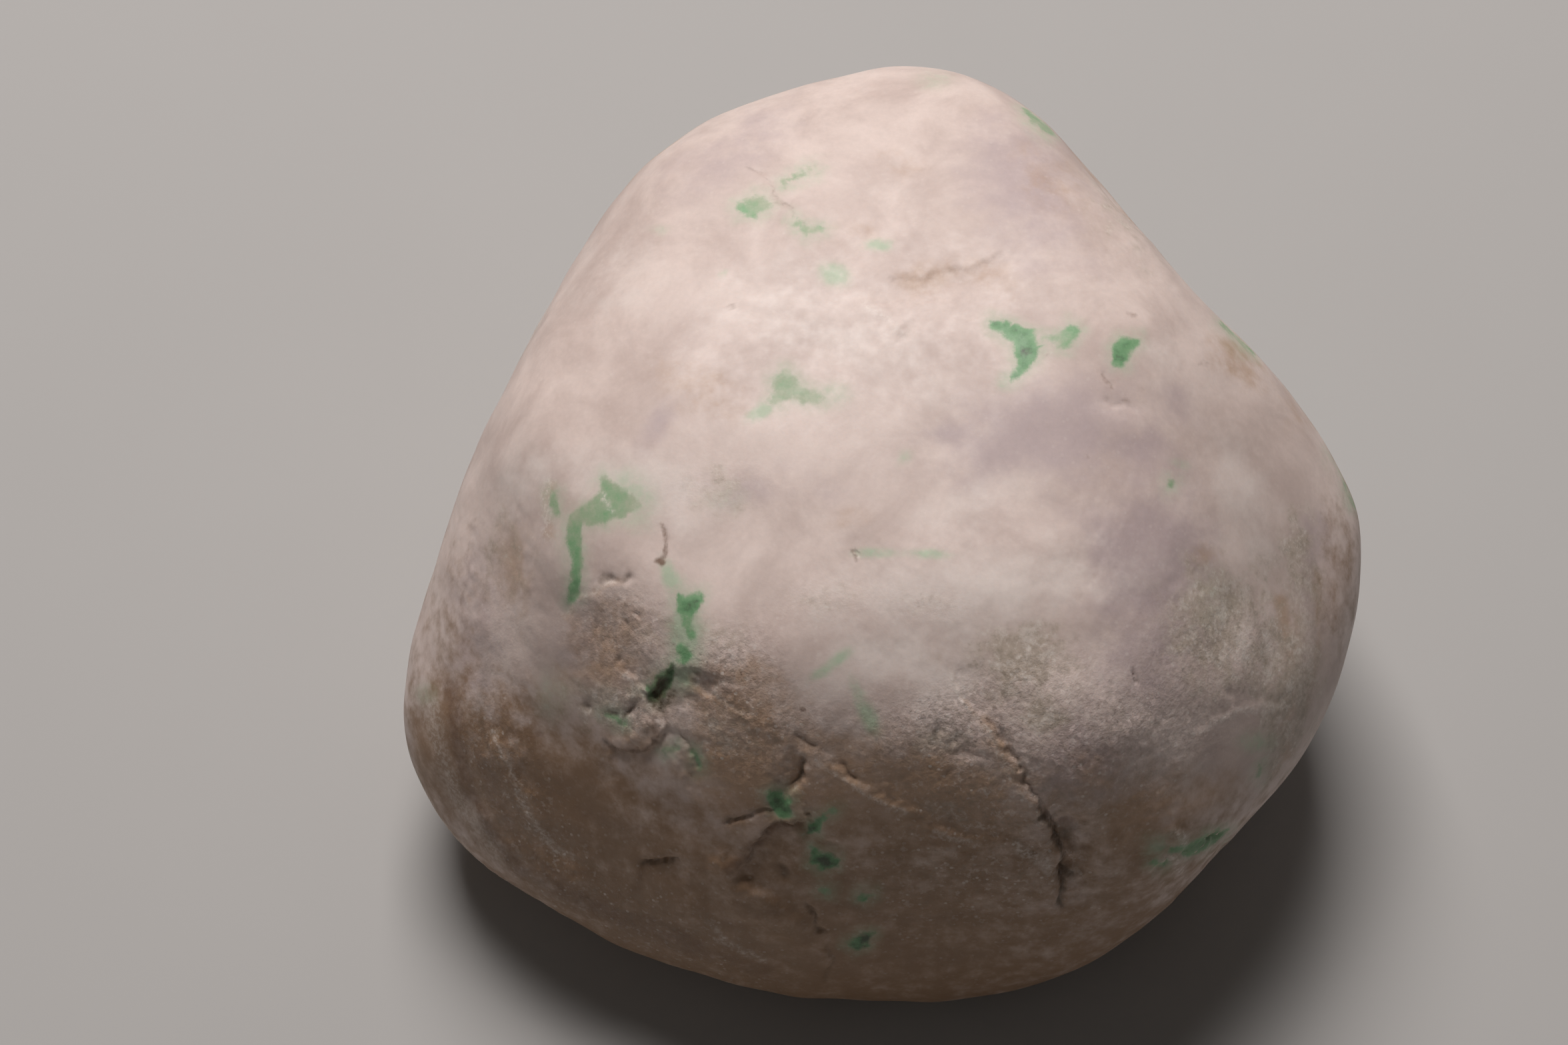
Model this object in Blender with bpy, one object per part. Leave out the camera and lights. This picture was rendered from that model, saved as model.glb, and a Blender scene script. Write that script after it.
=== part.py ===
"""Raw jade boulder: one river-worn stone, lying on its broad back.

Run with: blender --background --python part.py

The stone is drawn in face axes, in millimetres from its centre: u runs to its right, v toward
its crown, and w out of its broad face. It is then leaned back, set down on the ground plane
and scaled to metres. Relief on the broad face is placed on the face map: the u and v at which
an eye SIGHT_DISTANCE in front of the stone's centre sees a point.
"""

import math

import bmesh
import bpy
import numpy as np

NODE_NAME = "boulder"
MILLIMETRE = 0.001

# ---- the worn form ----

# Every worn plane of the stone: its name, the bearing it faces round the outline (degrees
# from +u toward +v), its lift out of the outline toward +w (degrees), and how far it lies
# from the stone's centre.
WORN_PLANES = (
    ("right flank", 41, 4, 91.5),
    ("shoulder", 13, -2, 121.5),
    ("right side", -10, -6, 114.5),
    ("lower right", -41, 0, 107.0),
    ("foot right", -67, -8, 117.5),
    ("foot", -95, -12, 138.0),
    ("foot left", -115, -8, 116.0),
    ("left corner", -146, 0, 128.5),
    ("left side", 180, -5, 119.5),
    ("left flank", 154, 0, 94.0),
    ("crown left", 118, -5, 106.0),
    ("crown", 80, -15, 116.0),
    ("upper face", 92, 48, 72.0),
    ("broad face", 100, 72, 62.0),
    ("brow", 90, 88, 68.5),
    ("belly", -100, 62, 79.5),
    ("under belly", -90, 38, 86.0),
    ("left cheek", 178, 42, 88.0),
    ("right cheek", 2, 45, 88.0),
    ("left belly", -135, 48, 82.0),
    ("right belly", -42, 42, 98.0),
    ("right brow", 42, 52, 80.0),
    ("left brow", 132, 45, 80.0),
    ("back", -90, -65, 68.0),
    ("back crown", 90, -50, 104.0),
    ("back left", 170, -45, 96.0),
    ("back right", 10, -45, 98.0),
    ("back foot", -90, -35, 102.0),
)
EDGE_HARDNESS = 13.0  # a higher number leaves less rounding where planes meet
SWELLS = ((70.0, 0.8), (32.0, 0.3), (14.0, 0.12))  # wavelength and height of the undulations
SWELL_WAVES = 36

# ---- relief on the broad face, in face-map millimetres ----

SIGHT_DISTANCE = 800.0
RELIEF_FACING = (-0.04, 0.16)  # relief starts and is full where the surface faces +w this much
STEP_WIDTH = 1.6  # how wide the face of a ledge is
LIP_SHARE = 0.1  # how far a ledge's lip stands up, as a share of its drop
LIP_SPREAD = 0.5  # how wide that lip is, as a share of the low side's run
END_FADE = 0.18  # share of a ledge's or ridge's length over which each end dies out

# Ledges: the path of the lip, the drop on the right-hand side of the path's direction, and
# how far the low side takes to climb back to the worn surface.
LEDGES = (
    ("long ledge", ((41.5, -88), (41, -77), (39, -68), (33, -59.5), (28, -50), (20, -38.5),
                    (15, -31)), 1.5, 9.0),
    ("cross ledge", ((20, -69), (10, -67), (2, -61.5), (-5, -59), (-12, -54), (-17, -49.5)),
     0.7, 9.0),
    ("undercut", ((-35, -78), (-31, -72.5), (-25, -67), (-20, -64), (-17, -61)), 1.9, 10.0),
    ("arc ledge", ((-53, -10), (-60.3, -10.5), (-65.7, -11.3), (-70.6, -15.4), (-73, -20)),
     0.6, 6.0),
    ("hook", ((-63, -47.5), (-58.1, -48.7), (-54.9, -48.4), (-52.2, -46.3), (-50.5, -42)),
     1.3, 6.0),
    ("block rim", ((-54, -38.5), (-54.9, -35.4), (-57, -33.3), (-60, -32)), 0.7, 4.0),
    ("right lip", ((-29, -40.5), (-34.8, -38.7), (-38.1, -36), (-44, -33)), 0.9, 6.0),
    ("notch", ((60, -76), (67, -72.5), (73, -69.5), (80, -67)), 1.5, 6.0),
    ("cheek vein", ((92, -38), (86, -38.5), (80, -41), (70, -44.5)), 0.6, 7.0),
    ("short ledge", ((-58, -75), (-52, -75), (-45, -73.8)), 0.8, 6.0),
)

# Ridges: the path of the crest, its height and its half width.
RIDGES = (
    ("foot ridge", ((-36, -70), (-35, -78), (-28, -84), (-20, -88), (-14, -93)), 1.0, 3.4),
    ("left ridge", ((-89, -43), (-87, -51), (-83, -61), (-77, -70)), 0.7, 2.6),
    ("corner ridge", ((-95, -60), (-88, -70), (-78, -78), (-66, -83)), 1.1, 4.5),
)

# Mounds, and hollows where the height is negative: centre, half length and half width, the
# bearing of the long axis, and the height.
MOUNDS = (
    ("dark hollow", (-51, -33.5), (6.0, 3.0), 62, -4.2),
    ("nodule", (-54.8, -43.6), (4.4, 3.4), 70, 1.9),
    ("smooth lobe", (-48.5, -49.5), (6.5, 5.0), 110, 1.3),
    ("lobe crease", (-43.2, -49.5), (5.0, 1.8), 115, -1.4),
    ("lip hollow", (-37, -33.5), (6.0, 2.6), 150, -0.9),
    ("scoop", (-62, -24), (15.0, 11.0), 100, -1.6),
    ("notch pit", (-22.5, -57.5), (7.5, 2.4), 70, -1.6),
    ("ledge cavity", (43, -70), (9.0, 3.5), 105, -2.0),
    ("long scoop", (56, -62), (17.0, 11.0), 70, -1.6),
    ("crown wrinkle", (12, 58.5), (15.0, 3.6), 12, -0.8),
    ("wrinkle lobe", (-1, 51.5), (8.0, 5.0), 160, 0.8),
    ("flank dish", (48, 66), (22.0, 10.0), 135, -1.2),
    ("lilac dish", (60, -5), (20.0, 14.0), 90, -1.1),
    ("centre swell", (14, -12), (26.0, 13.0), 15, 0.9),
    ("left dish", (-88, -12), (22.0, 9.0), 95, -1.4),
)

# ---- dents on the other sides: bearing, lift, radius and depth ----

SIDE_DENTS = (
    ("crown dent", 105, -38, 18.5, 2.2),
    ("back crown scar", 70, -62, 14.0, 1.8),
    ("left back dent", 196, -30, 17.0, 2.6),
    ("left corner scar", 222, -22, 10.5, 1.6),
    ("right back dent", -22, -34, 17.0, 2.4),
    ("flank back dent", 38, -34, 15.5, 2.0),
    ("foot scar", -78, -26, 12.0, 1.9),
    ("foot dent", -118, -34, 13.5, 1.7),
)

# ---- how it lies, and its mesh ----

LEAN_DEGREES = 25.0  # how far the broad face leans from facing straight up
REST_FACING = (-90.0, LEAN_DEGREES - 90.0)  # bearing and lift of the way to the ground
REST_DEPTH = 0.9  # how much of the back's low bulge is worn flat where the stone rests
REST_EVENNESS = 0.985  # the back has no undulations where it faces the ground this squarely
SPHERE_SUBDIVISIONS = 7
FACE_BUDGET = 9400

# ---- colour ----

JADE_COLOUR = (0.62, 0.52, 0.47, 1.0)
JADE_ROUGHNESS = 0.55


def unit_direction(bearing, lift):
    """The unit vector at a bearing round the outline and a lift toward +w, in degrees."""
    around, out = math.radians(bearing), math.radians(lift)
    return np.array((math.cos(around) * math.cos(out), math.sin(around) * math.cos(out),
                     math.sin(out)))


def worn_radius(directions):
    """How far the worn surface lies from the centre in each direction.

    The planes are joined by a power mean of their reaches, which rounds the edges between
    them as tumbling in a river does.
    """
    reach = np.zeros(len(directions))
    for _name, bearing, lift, distance in WORN_PLANES:
        facing = np.clip(directions @ unit_direction(bearing, lift), 0.0, None)
        reach += (facing / distance) ** EDGE_HARDNESS
    return reach ** (-1.0 / EDGE_HARDNESS)


def swell(points, wavelength, seed):
    """A smooth random field over space with the given wavelength, mostly within -1 to 1."""
    random = np.random.default_rng(seed)
    waves = random.normal(size=(SWELL_WAVES, 3))
    waves *= math.tau / wavelength / np.linalg.norm(waves, axis=1)[:, None]
    phases = random.uniform(0.0, math.tau, SWELL_WAVES)
    return np.cos(points @ waves.T + phases).sum(axis=1) / math.sqrt(SWELL_WAVES)


def smooth_step(value):
    """0 below 0, 1 above 1, and an even slope between."""
    value = np.clip(value, 0.0, 1.0)
    return value * value * (3.0 - 2.0 * value)


def beside_path(places, path):
    """For each place on the map, its distance from the path and its share of the way along.

    The distance is positive on the right-hand side of the path's direction.
    """
    corners = np.array(path, dtype=float)
    steps = np.diff(corners, axis=0)
    lengths = np.linalg.norm(steps, axis=1)
    travelled = np.concatenate(((0.0,), np.cumsum(lengths)))
    nearest = np.full(len(places), np.inf)
    side = np.ones(len(places))
    along = np.zeros(len(places))
    for corner, step, length, start in zip(corners, steps, lengths, travelled):
        offset = places - corner
        share = np.clip(offset @ step / length ** 2, 0.0, 1.0)
        gap = np.linalg.norm(offset - share[:, None] * step, axis=1)
        closer = gap < nearest
        crossing = offset[:, 0] * step[1] - offset[:, 1] * step[0]
        nearest = np.where(closer, gap, nearest)
        side = np.where(closer, np.where(crossing < 0.0, -1.0, 1.0), side)
        along = np.where(closer, (start + share * length) / travelled[-1], along)
    return nearest * side, along


def fade_ends(along):
    """1 along the middle of a path, dying out toward both ends."""
    return smooth_step(along / END_FADE) * smooth_step((1.0 - along) / END_FADE)


def ledge(places, path, drop, run):
    """A lip that falls to the right of its path, and a low side that climbs back."""
    distance, along = beside_path(places, path)
    below = smooth_step(distance / STEP_WIDTH)
    fall = below * np.exp(-np.clip(distance, 0.0, None) / run)
    lip = LIP_SHARE * (1.0 - below) * np.exp(-((distance / run / LIP_SPREAD) ** 2))
    return drop * fade_ends(along) * (lip - fall)


def ridge(places, path, height, half_width):
    """A rounded crest along its path."""
    distance, along = beside_path(places, path)
    return height * fade_ends(along) * np.exp(-((distance / half_width) ** 2))


def mound(places, centre, half_sizes, bearing, height):
    """A rounded mound, or a hollow where the height is negative."""
    turn = math.radians(bearing)
    offset = places - np.array(centre, dtype=float)
    lengthwise = offset @ (math.cos(turn), math.sin(turn)) / half_sizes[0]
    crosswise = offset @ (-math.sin(turn), math.cos(turn)) / half_sizes[1]
    return height * np.exp(-(lengthwise ** 2 + crosswise ** 2))


def face_relief(points):
    """The height of all relief on the broad face."""
    places = points[:, :2] * (SIGHT_DISTANCE / (SIGHT_DISTANCE - points[:, 2]))[:, None]
    height = np.zeros(len(points))
    for _name, path, drop, run in LEDGES:
        height += ledge(places, path, drop, run)
    for _name, path, crest, half_width in RIDGES:
        height += ridge(places, path, crest, half_width)
    for _name, centre, half_sizes, bearing, rise in MOUNDS:
        height += mound(places, centre, half_sizes, bearing, rise)
    return height


def side_relief(points):
    """The depth of the dents on the sides and back, as negative heights."""
    height = np.zeros(len(points))
    for _name, bearing, lift, radius, depth in SIDE_DENTS:
        direction = unit_direction(bearing, lift)[None, :]
        centre = direction * worn_radius(direction)
        away = np.linalg.norm(points - centre, axis=1)
        height -= depth * np.exp(-((away / radius) ** 2))
    return height


def surface_normals(mesh, points):
    """The outward normals of the mesh with its vertices at these points."""
    mesh.vertices.foreach_set("co", points.ravel())
    mesh.update()
    normals = np.empty(len(points) * 3)
    mesh.vertex_normals.foreach_get("vector", normals)
    return normals.reshape(-1, 3)


def sculpt_stone():
    """The whole stone in face axes and millimetres, as a fine closed mesh."""
    ball = bmesh.new()
    bmesh.ops.create_icosphere(ball, subdivisions=SPHERE_SUBDIVISIONS, radius=1.0)
    mesh = bpy.data.meshes.new(NODE_NAME)
    ball.to_mesh(mesh)
    ball.free()
    directions = np.array([vertex.co for vertex in mesh.vertices])
    directions /= np.linalg.norm(directions, axis=1)[:, None]
    points = directions * worn_radius(directions)[:, None]
    normals = surface_normals(mesh, points)
    height = side_relief(points)
    undulation = np.zeros(len(points))
    for seed, (wavelength, rise) in enumerate(SWELLS):
        undulation += rise * swell(points, wavelength, seed)
    toward_ground = normals @ unit_direction(*REST_FACING)
    height += undulation * smooth_step((REST_EVENNESS - toward_ground) / (1.0 - REST_EVENNESS))
    edge, full = RELIEF_FACING
    height += smooth_step((normals[:, 2] - edge) / (full - edge)) * face_relief(points)
    points += normals * height[:, None]
    mesh.vertices.foreach_set("co", points.ravel())
    mesh.update()
    return mesh


def thin_out(stone):
    """Drop faces where the surface is smooth, down to the face budget."""
    thinner = stone.modifiers.new("thin out", "DECIMATE")
    thinner.ratio = FACE_BUDGET / len(stone.data.polygons)
    shape = stone.evaluated_get(bpy.context.evaluated_depsgraph_get())
    fine_mesh = stone.data
    stone.data = bpy.data.meshes.new_from_object(shape)
    stone.modifiers.clear()
    bpy.data.meshes.remove(fine_mesh)


def set_down(mesh):
    """Lean the stone back, wear its low bulge flat, and stand it on the ground, in metres."""
    lean = math.radians(LEAN_DEGREES)
    points = np.array([vertex.co for vertex in mesh.vertices])
    crown, out = points[:, 1], points[:, 2]
    depth = crown * math.cos(lean) - out * math.sin(lean)
    rise = crown * math.sin(lean) + out * math.cos(lean)
    points[:, 1] = depth
    points[:, 2] = np.maximum(rise, rise.min() + REST_DEPTH)
    low, high = points.min(axis=0), points.max(axis=0)
    points -= ((low[0] + high[0]) / 2.0, (low[1] + high[1]) / 2.0, low[2])
    mesh.vertices.foreach_set("co", (points * MILLIMETRE).ravel())
    mesh.update()


def jade_material():
    """Pale, slightly waxy jade."""
    material = bpy.data.materials.new("raw jade")
    material.use_nodes = True
    shader = material.node_tree.nodes["Principled BSDF"]
    shader.inputs["Base Color"].default_value = JADE_COLOUR
    shader.inputs["Roughness"].default_value = JADE_ROUGHNESS
    shader.inputs["Metallic"].default_value = 0.0
    return material


def make_boulder():
    """The boulder, in place on the ground plane."""
    stone = bpy.data.objects.new(NODE_NAME, sculpt_stone())
    bpy.context.scene.collection.objects.link(stone)
    bpy.context.view_layer.update()
    thin_out(stone)
    set_down(stone.data)
    stone.data.name = NODE_NAME
    stone.data.materials.append(jade_material())
    return stone


def main():
    for leftover in list(bpy.data.objects):
        bpy.data.objects.remove(leftover)
    make_boulder()


main()
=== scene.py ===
"""The looks of the raw jade boulder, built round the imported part.

The stone is drawn in the same face axes as the part's source, in millimetres from its centre:
u runs to its right, v toward its crown, and w out of its broad face. Relief and markings on
the broad face are placed on the face map: the u and v at which an eye SIGHT_DISTANCE in front
of the stone's centre sees a point. The camera stands at that eye.
"""

import math

import bmesh
import bpy
import numpy as np
from mathutils import Matrix, Vector, noise


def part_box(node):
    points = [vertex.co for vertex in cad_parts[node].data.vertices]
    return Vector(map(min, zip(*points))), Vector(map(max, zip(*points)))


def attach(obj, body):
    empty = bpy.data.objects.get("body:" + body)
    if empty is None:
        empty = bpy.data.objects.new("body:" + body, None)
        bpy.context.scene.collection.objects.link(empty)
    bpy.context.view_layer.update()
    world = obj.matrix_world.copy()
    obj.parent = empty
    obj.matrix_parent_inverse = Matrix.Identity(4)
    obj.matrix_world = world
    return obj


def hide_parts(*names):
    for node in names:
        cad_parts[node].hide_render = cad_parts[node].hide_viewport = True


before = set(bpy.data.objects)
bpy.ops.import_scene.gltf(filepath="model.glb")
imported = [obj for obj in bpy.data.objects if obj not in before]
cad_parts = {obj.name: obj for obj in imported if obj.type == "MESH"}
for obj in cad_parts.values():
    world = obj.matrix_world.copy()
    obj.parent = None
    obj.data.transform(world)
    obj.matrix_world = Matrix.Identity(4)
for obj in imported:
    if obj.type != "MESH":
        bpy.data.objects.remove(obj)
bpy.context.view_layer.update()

MILLIMETRE = 0.001

# ---- the worn form, as the part's source has it ----

# Every worn plane: its bearing round the outline (degrees from +u toward +v), its lift out of
# the outline toward +w, and how far it lies from the stone's centre.
WORN_PLANES = (
    (41, 4, 91.5),  # right flank
    (13, -2, 121.5),  # shoulder
    (-10, -6, 114.5),  # right side
    (-41, 0, 107.0),  # lower right
    (-67, -8, 117.5),  # foot right
    (-95, -12, 138.0),  # foot
    (-115, -8, 116.0),  # foot left
    (-146, 0, 128.5),  # left corner
    (180, -5, 119.5),  # left side
    (154, 0, 94.0),  # left flank
    (118, -5, 106.0),  # crown left
    (80, -15, 116.0),  # crown
    (92, 48, 72.0),  # upper face
    (100, 72, 62.0),  # broad face
    (90, 88, 68.5),  # brow
    (-100, 62, 79.5),  # belly
    (-90, 38, 86.0),  # under belly
    (178, 42, 88.0),  # left cheek
    (2, 45, 88.0),  # right cheek
    (-135, 48, 82.0),  # left belly
    (-42, 42, 98.0),  # right belly
    (42, 52, 80.0),  # right brow
    (132, 45, 80.0),  # left brow
    (-90, -65, 68.0),  # back
    (90, -50, 104.0),  # back crown
    (170, -45, 96.0),  # back left
    (10, -45, 98.0),  # back right
    (-90, -35, 102.0),  # back foot
)
EDGE_HARDNESS = 13.0  # a higher number leaves less rounding where planes meet
SWELLS = ((70.0, 0.8), (32.0, 0.3), (14.0, 0.12))  # wavelength and height of the undulations
SWELL_WAVES = 36
LEAN_DEGREES = 25.0  # how far the broad face leans from facing straight up
REST_FACING = (-90.0, LEAN_DEGREES - 90.0)  # bearing and lift of the way to the ground
REST_DEPTH = 0.9  # how much of the back's low bulge is worn flat where the stone rests
REST_EVENNESS = 0.985  # the back has no undulations where it faces the ground this squarely

# Dents on the other sides: bearing, lift, radius and depth.
SIDE_DENTS = (
    (105, -38, 18.5, 2.2),
    (70, -62, 14, 1.8),
    (196, -30, 17, 2.6),
    (222, -22, 10.5, 1.6),
    (-22, -34, 17, 2.4),
    (38, -34, 15.5, 2),
    (-78, -26, 12, 1.9),
    (-118, -34, 13.5, 1.7),
)

# ---- relief on the broad face, in face-map millimetres ----

SIGHT_DISTANCE = 800.0
RELIEF_FACING = (-0.04, 0.16)  # relief starts and is full where the surface faces +w this much
LIP_SHARE = 0.1  # how far a ledge's lip stands up, as a share of its drop
LIP_SPREAD = 0.5  # how wide that lip is, as a share of the low side's run
END_FADE = 0.18  # share of a path's length over which each end dies out

# Ledges: the path of the lip, the drop on the right-hand side of the path's direction, how
# far the low side takes to climb back, and the width of the step's face.
LEDGES = (
    ("long ledge", ((41.5, -88), (41, -82), (40.5, -77), (39, -71), (36.8, -66.5), (33.6, -61.5),
     (30.4, -56.5), (27.6, -51), (25, -45), (22, -41)), 0.9, 9, 3.4),
    ("long ledge top", ((24, -43.5), (21.5, -40), (19.5, -37.5), (17, -34.5), (15, -31)), 0.4,
     5, 1.2),
    ("cross ledge", ((22, -69), (16, -69), (10, -67), (5, -63.5), (1, -61), (-5, -59), (-9, -57),
     (-12, -54), (-15, -50.8), (-18, -49)), 0.6, 9, 2.2),
    ("cross ledge foot", ((39, -74), (35, -72), (31, -70.6), (24, -69.8), (17, -69.6), (12, -67)),
     0.5, 7, 1.4),
    ("undercut", ((-35, -78), (-33.3, -75.5), (-31, -72.5), (-28, -69), (-25, -67), (-22, -65),
     (-20, -64), (-17, -61)), 1.9, 10, 0.9),
    ("arc ledge", ((-58, -10.6), (-60.3, -10.6), (-62.8, -11), (-65.7, -11.6), (-68.4, -13.4),
     (-70.6, -15.6), (-73, -20)), 0.24, 6, 1),
    ("hook", ((-63, -46.8), (-61, -47.6), (-58.1, -48.6), (-55.2, -48.7), (-53, -47.4),
     (-51.6, -45), (-51.2, -42.4)), 1.2, 5, 0.8),
    ("hollow brow", ((-57, -36), (-54.6, -34.6), (-52, -32.4), (-50, -29.8), (-48.2, -27.4)), 1.5,
     15, 1.2),
    ("block rim", ((-53.5, -38.5), (-54.3, -36.8), (-54.9, -35.4), (-57, -33.3), (-58.8, -32.3),
     (-60.5, -32)), 0.5, 4, 0.5),
    ("right lip", ((-29, -40.8), (-32.6, -40.4), (-34.8, -39.9), (-36.6, -38.5), (-38.6, -37.4),
     (-41.2, -36.6), (-43.6, -34.8), (-46, -33.6)), 0.4, 5, 1),
    ("notch", ((60, -76), (63, -74), (67, -72.5), (70, -71), (74, -69.5), (80, -67)), 1.5, 6, 0.9),
    ("cheek vein", ((92, -38), (88, -38.2), (86, -38.8), (81, -40.3), (78, -42), (70, -44.5)),
     0.25, 7, 0.6),
    ("short ledge", ((-58, -75.2), (-54, -75), (-50, -74.4), (-45, -73.6)), 0.8, 6, 0.6),
)

# Ridges: the path of the crest, its height and its half width.
RIDGES = (
    ("foot ridge", ((-36, -70), (-35, -78), (-28, -84), (-20, -88), (-14, -93)), 1, 3.4),
    ("left ridge", ((-89, -43), (-87, -51), (-83, -61), (-77, -70)), 0.7, 2.6),
    ("corner ridge", ((-95, -60), (-88, -70), (-78, -78), (-66, -83)), 1.1, 4.5),
)

# Mounds, and hollows where the height is negative: centre, half length and half width, the
# bearing of the long axis, and the height.
MOUNDS = (
    ("dark hollow", (-51, -36), (4.4, 3.4), 66, -0.3),
    ("nodule", (-55.8, -45.8), (4.4, 2.9), 78, 0.7),
    ("smooth lobe", (-48.5, -48.5), (7.5, 5), 110, 0.7),
    ("lobe crease", (-43, -49.5), (5, 2.4), 115, -0.5),
    ("lip hollow", (-39.8, -34.8), (2.8, 1.8), 165, -0.9),
    ("scoop", (-62, -24), (15, 11), 100, -1.6),
    ("notch pit", (-22.5, -57.5), (7.5, 2.4), 70, -1.6),
    ("ledge cavity", (43, -70), (9, 3.5), 105, -2),
    ("long scoop", (56, -62), (17, 11), 70, -1.6),
    ("crown wrinkle", (12, 58.5), (15, 3.6), 12, -0.8),
    ("wrinkle lobe", (-1, 51.5), (8, 5), 160, 0.8),
    ("flank dish", (48, 66), (22, 10), 135, -1.2),
    ("lilac dish", (60, -5), (20, 14), 90, -1.1),
    ("centre swell", (14, -12), (26, 13), 15, 0.9),
    ("left dish", (-88, -12), (22, 9), 95, -1.4),
)

# Small pits and knobs, too fine for the solid: the same five values.
SMALL_MOUNDS = (
    ("arc pit left", (-63.3, -9.8), (1.3, 0.7), 160, -0.42),
    ("arc pit right", (-59.4, -9.2), (1, 0.6), 60, -0.42),
    ("scoop pit", (-60.3, -19.8), (1.2, 0.8), 120, -0.5),
    ("low scoop pit", (-62.2, -29.2), (0.9, 0.7), 90, -0.5),
    ("block crack", (-57.6, -39.4), (1.9, 0.8), 38, -0.9),
    ("green pit", (-62.4, -40.4), (1.5, 0.8), 0, -0.6),
    ("left pit", (-67.8, -39.4), (0.9, 1.2), 40, -0.7),
    ("nodule cap", (-55, -42.8), (1.4, 1.3), 0, 0.2),
    ("nodule chip", (-57.2, -45.4), (1.4, 1.8), 30, 0.4),
    ("nodule pit", (-53.4, -45), (1, 1.3), 30, -0.25),
    ("rough pit a", (13, -44), (1.8, 1), 80, -0.5),
    ("rough pit b", (16, -47), (1.7, 0.9), 20, -0.4),
    ("rough pit c", (20, -49.6), (3.6, 1.1), -12, -0.35),
    ("rough pit d", (14.5, -55), (2.4, 0.7), 35, -0.4),
    ("rough pit e", (15, -64.5), (1.3, 2.4), 20, -0.4),
    ("cavity upper", (42, -67), (3.4, 1.3), 20, -1.3),
    ("cavity lower", (43, -76.5), (2.4, 1.2), 0, -1.3),
    ("fold", (54, 30.6), (6, 1.8), 175, -0.22),
    ("fold lobe", (55, 25.5), (6.5, 3.4), 175, 0.25),
    ("wrinkle chip", (5, 47.5), (3, 1.2), 45, -0.4),
    ("cheek pit", (79.5, -35.5), (1, 1.6), 80, -0.35),
    ("notch knob", (67, -73.6), (2, 1.6), 20, 1),
    ("notch knob left", (66.5, -68.4), (1.8, 1.2), 0, 0.6),
    ("foot chip", (-22.8, -76.5), (1.3, 1.6), 70, -0.9),
)

# Cracks: path, half width and depth.
CRACKS = (
    ("slot", ((-16.5, -50.5), (-18.8, -53), (-19.8, -56), (-21.5, -59.5)), 0.7, 1.3),
    ("slot root", ((-20.5, -46), (-18, -47.6), (-14.8, -49.2)), 0.6, 0.6),
    ("long crack", ((35.6, -61.6), (38, -66), (40, -70), (41.3, -75), (41.5, -80), (41.3, -86)),
     0.6, 1.8),
    ("ledge foot", ((24.4, -41.5), (27.2, -45.5), (29.8, -50.5), (32.6, -55.5), (35.4, -60.5),
     (38.4, -65.5), (40.6, -71)), 0.45, 0.6),
    ("notch slot", ((68, -71.8), (71, -70.6), (75, -69.2), (79.5, -67.4)), 0.9, 0.5),
    ("ledge shade", ((-10, -51.5), (-8, -54.5), (-6, -57)), 0.5, 0.5),
    ("rusty crack", ((-50.2, 2.6), (-50.3, -1.3), (-50.1, -3.4), (-50.9, -5)), 0.35, 0.3),
    ("tick", ((-7.6, -3.2), (-6.3, -5.3)), 0.3, 0.4),
    ("scar", ((-57.2, -16.8), (-55.6, -18.9)), 0.4, 0.4),
    ("short crack", ((-57, -75.1), (-52, -74.9), (-46, -73.9)), 0.5, 1),
    ("low crack", ((-18, -83), (-15.6, -87), (-14.6, -89.5), (-12, -91.5)), 0.5, 0.9),
    ("left seam", ((-37, -66), (-33.2, -63.6), (-28.3, -62.6), (-24, -62)), 0.5, 0.8),
    ("lobe edge", ((-46.4, -44.6), (-44.6, -47.6), (-44, -49.4), (-42.9, -52.2), (-40.6, -52.8)),
     0.45, 0.3),
    ("cheek crack", ((57.6, -30.6), (58.8, -34.2)), 0.4, 0.6),
    ("wrinkle", ((2, 58.5), (8, 57.4), (14, 58.4), (20, 60), (24, 62.8), (28, 64)), 1, 0.14),
    ("crown hairline", ((-30, 85), (-25.5, 82), (-23.3, 78), (-20, 74)), 0.35, 0.25),
    ("fold crease", ((49.8, 32), (52.5, 30.4), (56, 30.2), (58.6, 28.2)), 0.5, 0.2),
    ("stroke", ((50.5, 38.5), (51.2, 36), (53, 33.6)), 0.5, 0.2),
    ("foot crack", ((-12.5, -92), (-11.5, -98), (-12.5, -104)), 0.5, 0.6),
)

# Where the surface is broken and crystalline rather than worn: centre, half sizes, bearing of
# the long axis, and how rough.
ROUGH_PATCHES = (
    ((22, -56), (24, 14), 150, 1),
    ((16, -43), (12, 6), 20, 0.8),
    ((-30, -45), (17, 12), 150, 0.8),
    ((-36, -30), (12, 9), 30, 0.7),
    ((-60, -22), (12, 12), 90, 0.65),
    ((-58, -40), (5.5, 8), 70, 0.85),
    ((50, -46), (22, 14), 20, 0.6),
    ((34, -32), (14, 8), 10, 0.5),
    ((78, -24), (14, 20), 80, 0.45),
    ((24, -80), (24, 10), 0, 0.5),
    ((-88, -20), (30, 10), 95, 0.25),
    ((-38, 12), (16, 8), 0, 0.2),
    ((-12, -14), (14, 6), 0, 0.25),
    ((12, -16), (10, 5), 0, 0.25),
    ((8, 57), (16, 5), 12, 0.2),
    ((-84, -60), (26, 10), 120, 0.6),
    ((-55, -88), (34, 9), -27, 0.55),
    ((0, -72), (60, 26), 0, 0.3),
    ((60, -52), (18, 10), 40, 0.5),
)

# ---- the fine mesh ----

SPHERE_SUBDIVISIONS = 8
CROWDING = 0.5  # how far the mesh's points are drawn toward the busiest part of the face
CROWDED_FACING = (-100.0, 66.0)  # bearing and lift of that part
FACE_BUDGET = 196000
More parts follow.
